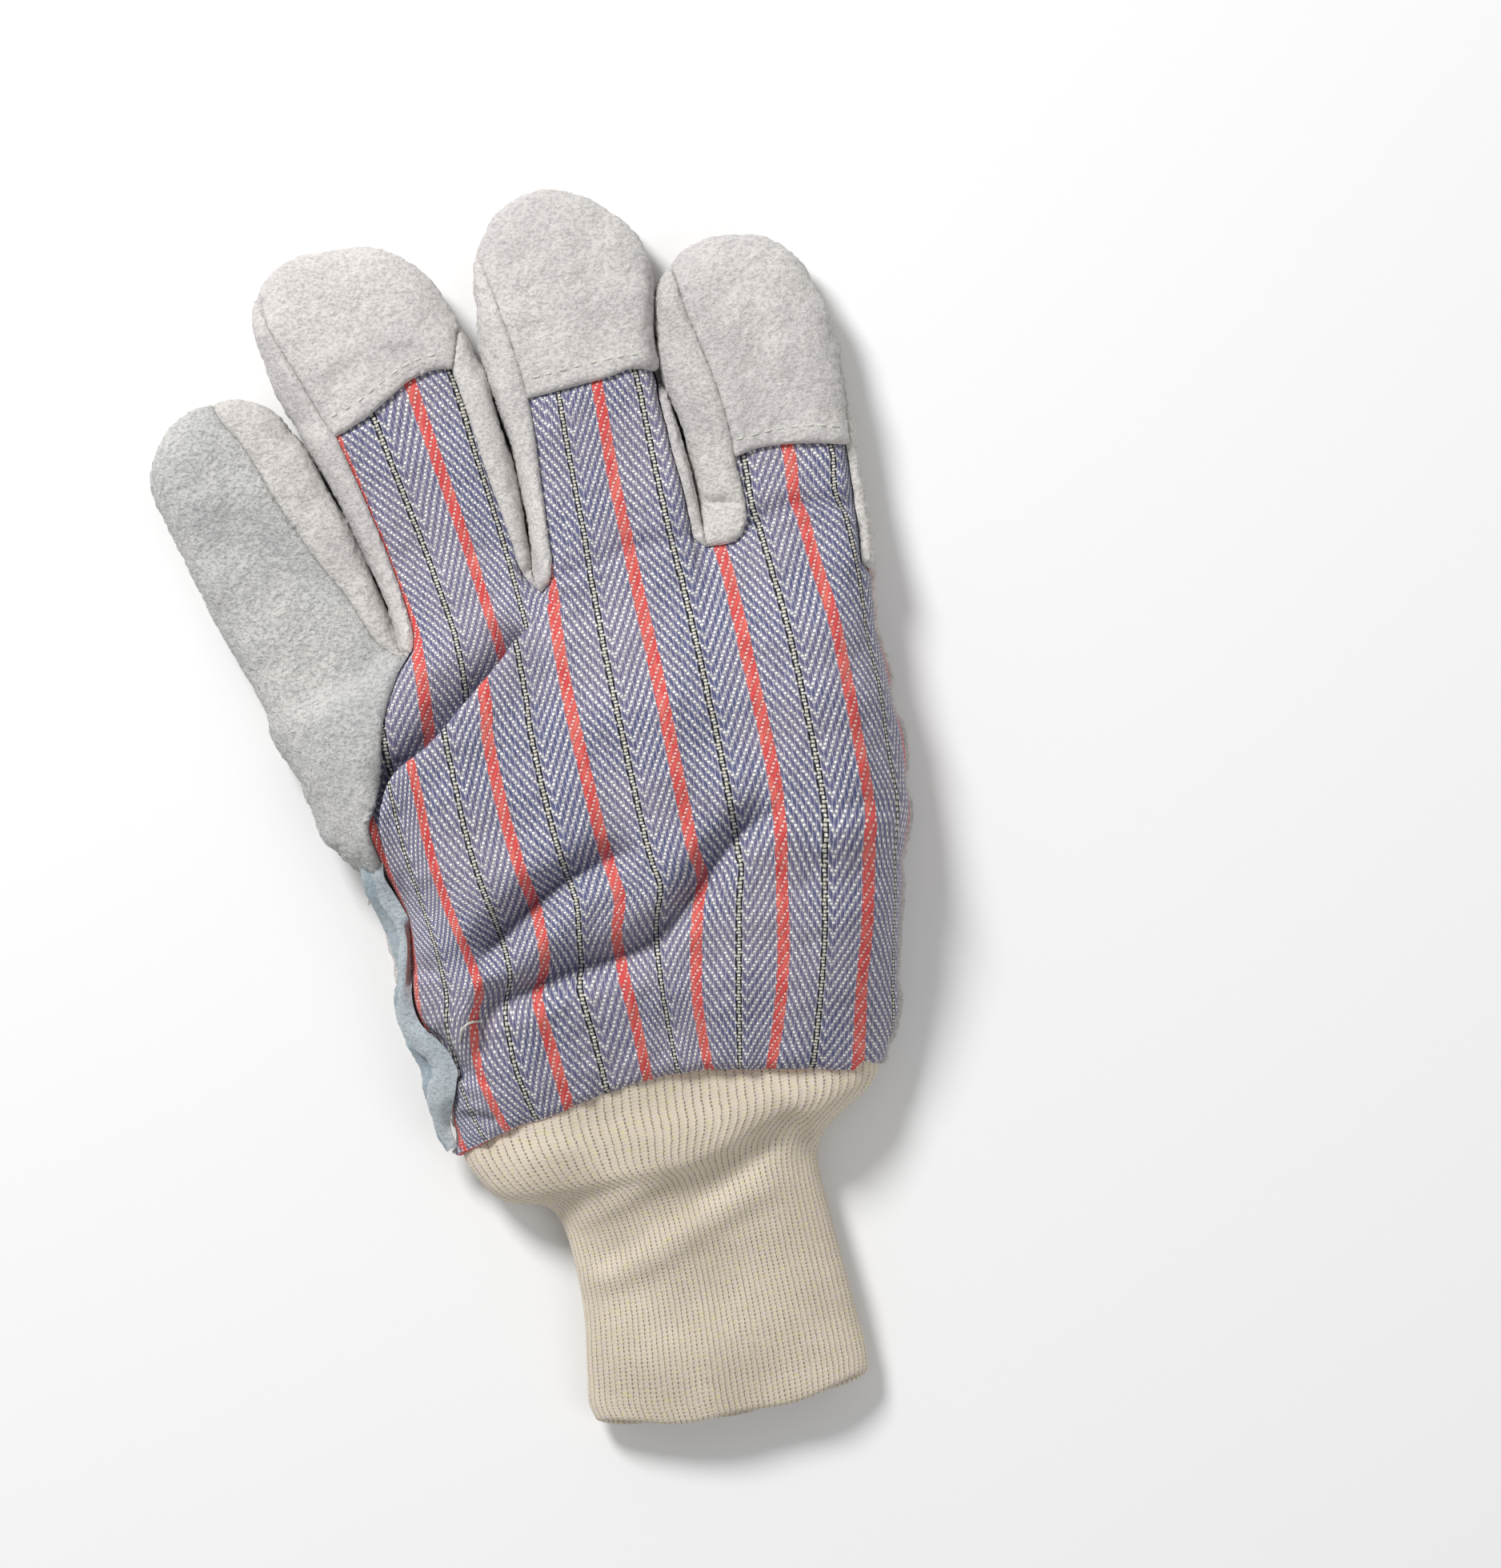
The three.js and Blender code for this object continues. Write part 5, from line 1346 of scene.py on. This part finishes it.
loose_thread("loose_thread_side", [
    (-40.8, 0.6, 12.8), (-41.1, -1.5, 13.6), (-42.0, -5.8, 13.6), (-43.0, -9.8, 13.0),
], 0.34)
cloth_tree = tree_of("cloth")
loose_thread("loose_thread_curl", [
    (x, y, height_on(cloth_tree, x, y) + lift)
    for x, y, lift in ((-28.6, -41.5, 0.3), (-27.6, -39.2, 0.9), (-25.8, -38.0, 0.9), (-23.6, -38.0, 0.3))
], 0.26)

# ---- Floor, light and camera ----
floor_mesh = bpy.data.meshes.new("floor")
floor_mesh.from_pydata([(-3, -3, 0), (3, -3, 0), (3, 3, 0), (-3, 3, 0)], [], [(0, 1, 2, 3)])
floor = bpy.data.objects.new("floor", floor_mesh)
bpy.context.collection.objects.link(floor)
floor_mesh.materials.append(Nodes("pale_floor").finish(rgb(246, 246, 246), 0.9, Specular_IOR_Level=0.1))

world = bpy.data.worlds.new("soft_light")
bpy.context.scene.world = world
world.use_nodes = True
sky = world.node_tree.nodes["Background"]
sky.inputs["Color"].default_value = (1, 1, 1, 1)
sky.inputs["Strength"].default_value = 0.36


def area_light(name, place, size, power):
    """A round soft light that points at the glove."""
    data = bpy.data.lights.new(name, "AREA")
    data.shape = "DISK"
    data.size = size
    data.energy = power
    obj = bpy.data.objects.new(name, data)
    obj.location = place
    obj.rotation_euler = (Vector((0.02, 0, 0)) - Vector(place)).to_track_quat("-Z", "Y").to_euler()
    bpy.context.collection.objects.link(obj)


area_light("key", (-0.5, 1.0, 1.0), 0.45, 20)
area_light("fill", (0.8, -0.7, 1.3), 1.2, 4)

CAMERA_HEIGHT = 2.4
GLOVE_LEVEL = 0.008  # the height at which the picture has its width
PICTURE_WIDTH = 0.3332
SENSOR = 36
camera_data = bpy.data.cameras.new("camera")
camera_data.sensor_width = SENSOR
camera_data.lens = SENSOR * (CAMERA_HEIGHT - GLOVE_LEVEL) / PICTURE_WIDTH
camera_data.clip_end = 20
bpy.context.scene.view_settings.view_transform = "Standard"
camera = bpy.data.objects.new("camera", camera_data)
camera.location = (0.03955, -0.0005, CAMERA_HEIGHT)
camera.rotation_euler = (0, 0, math.radians(-10))
bpy.context.collection.objects.link(camera)
bpy.context.scene.camera = camera
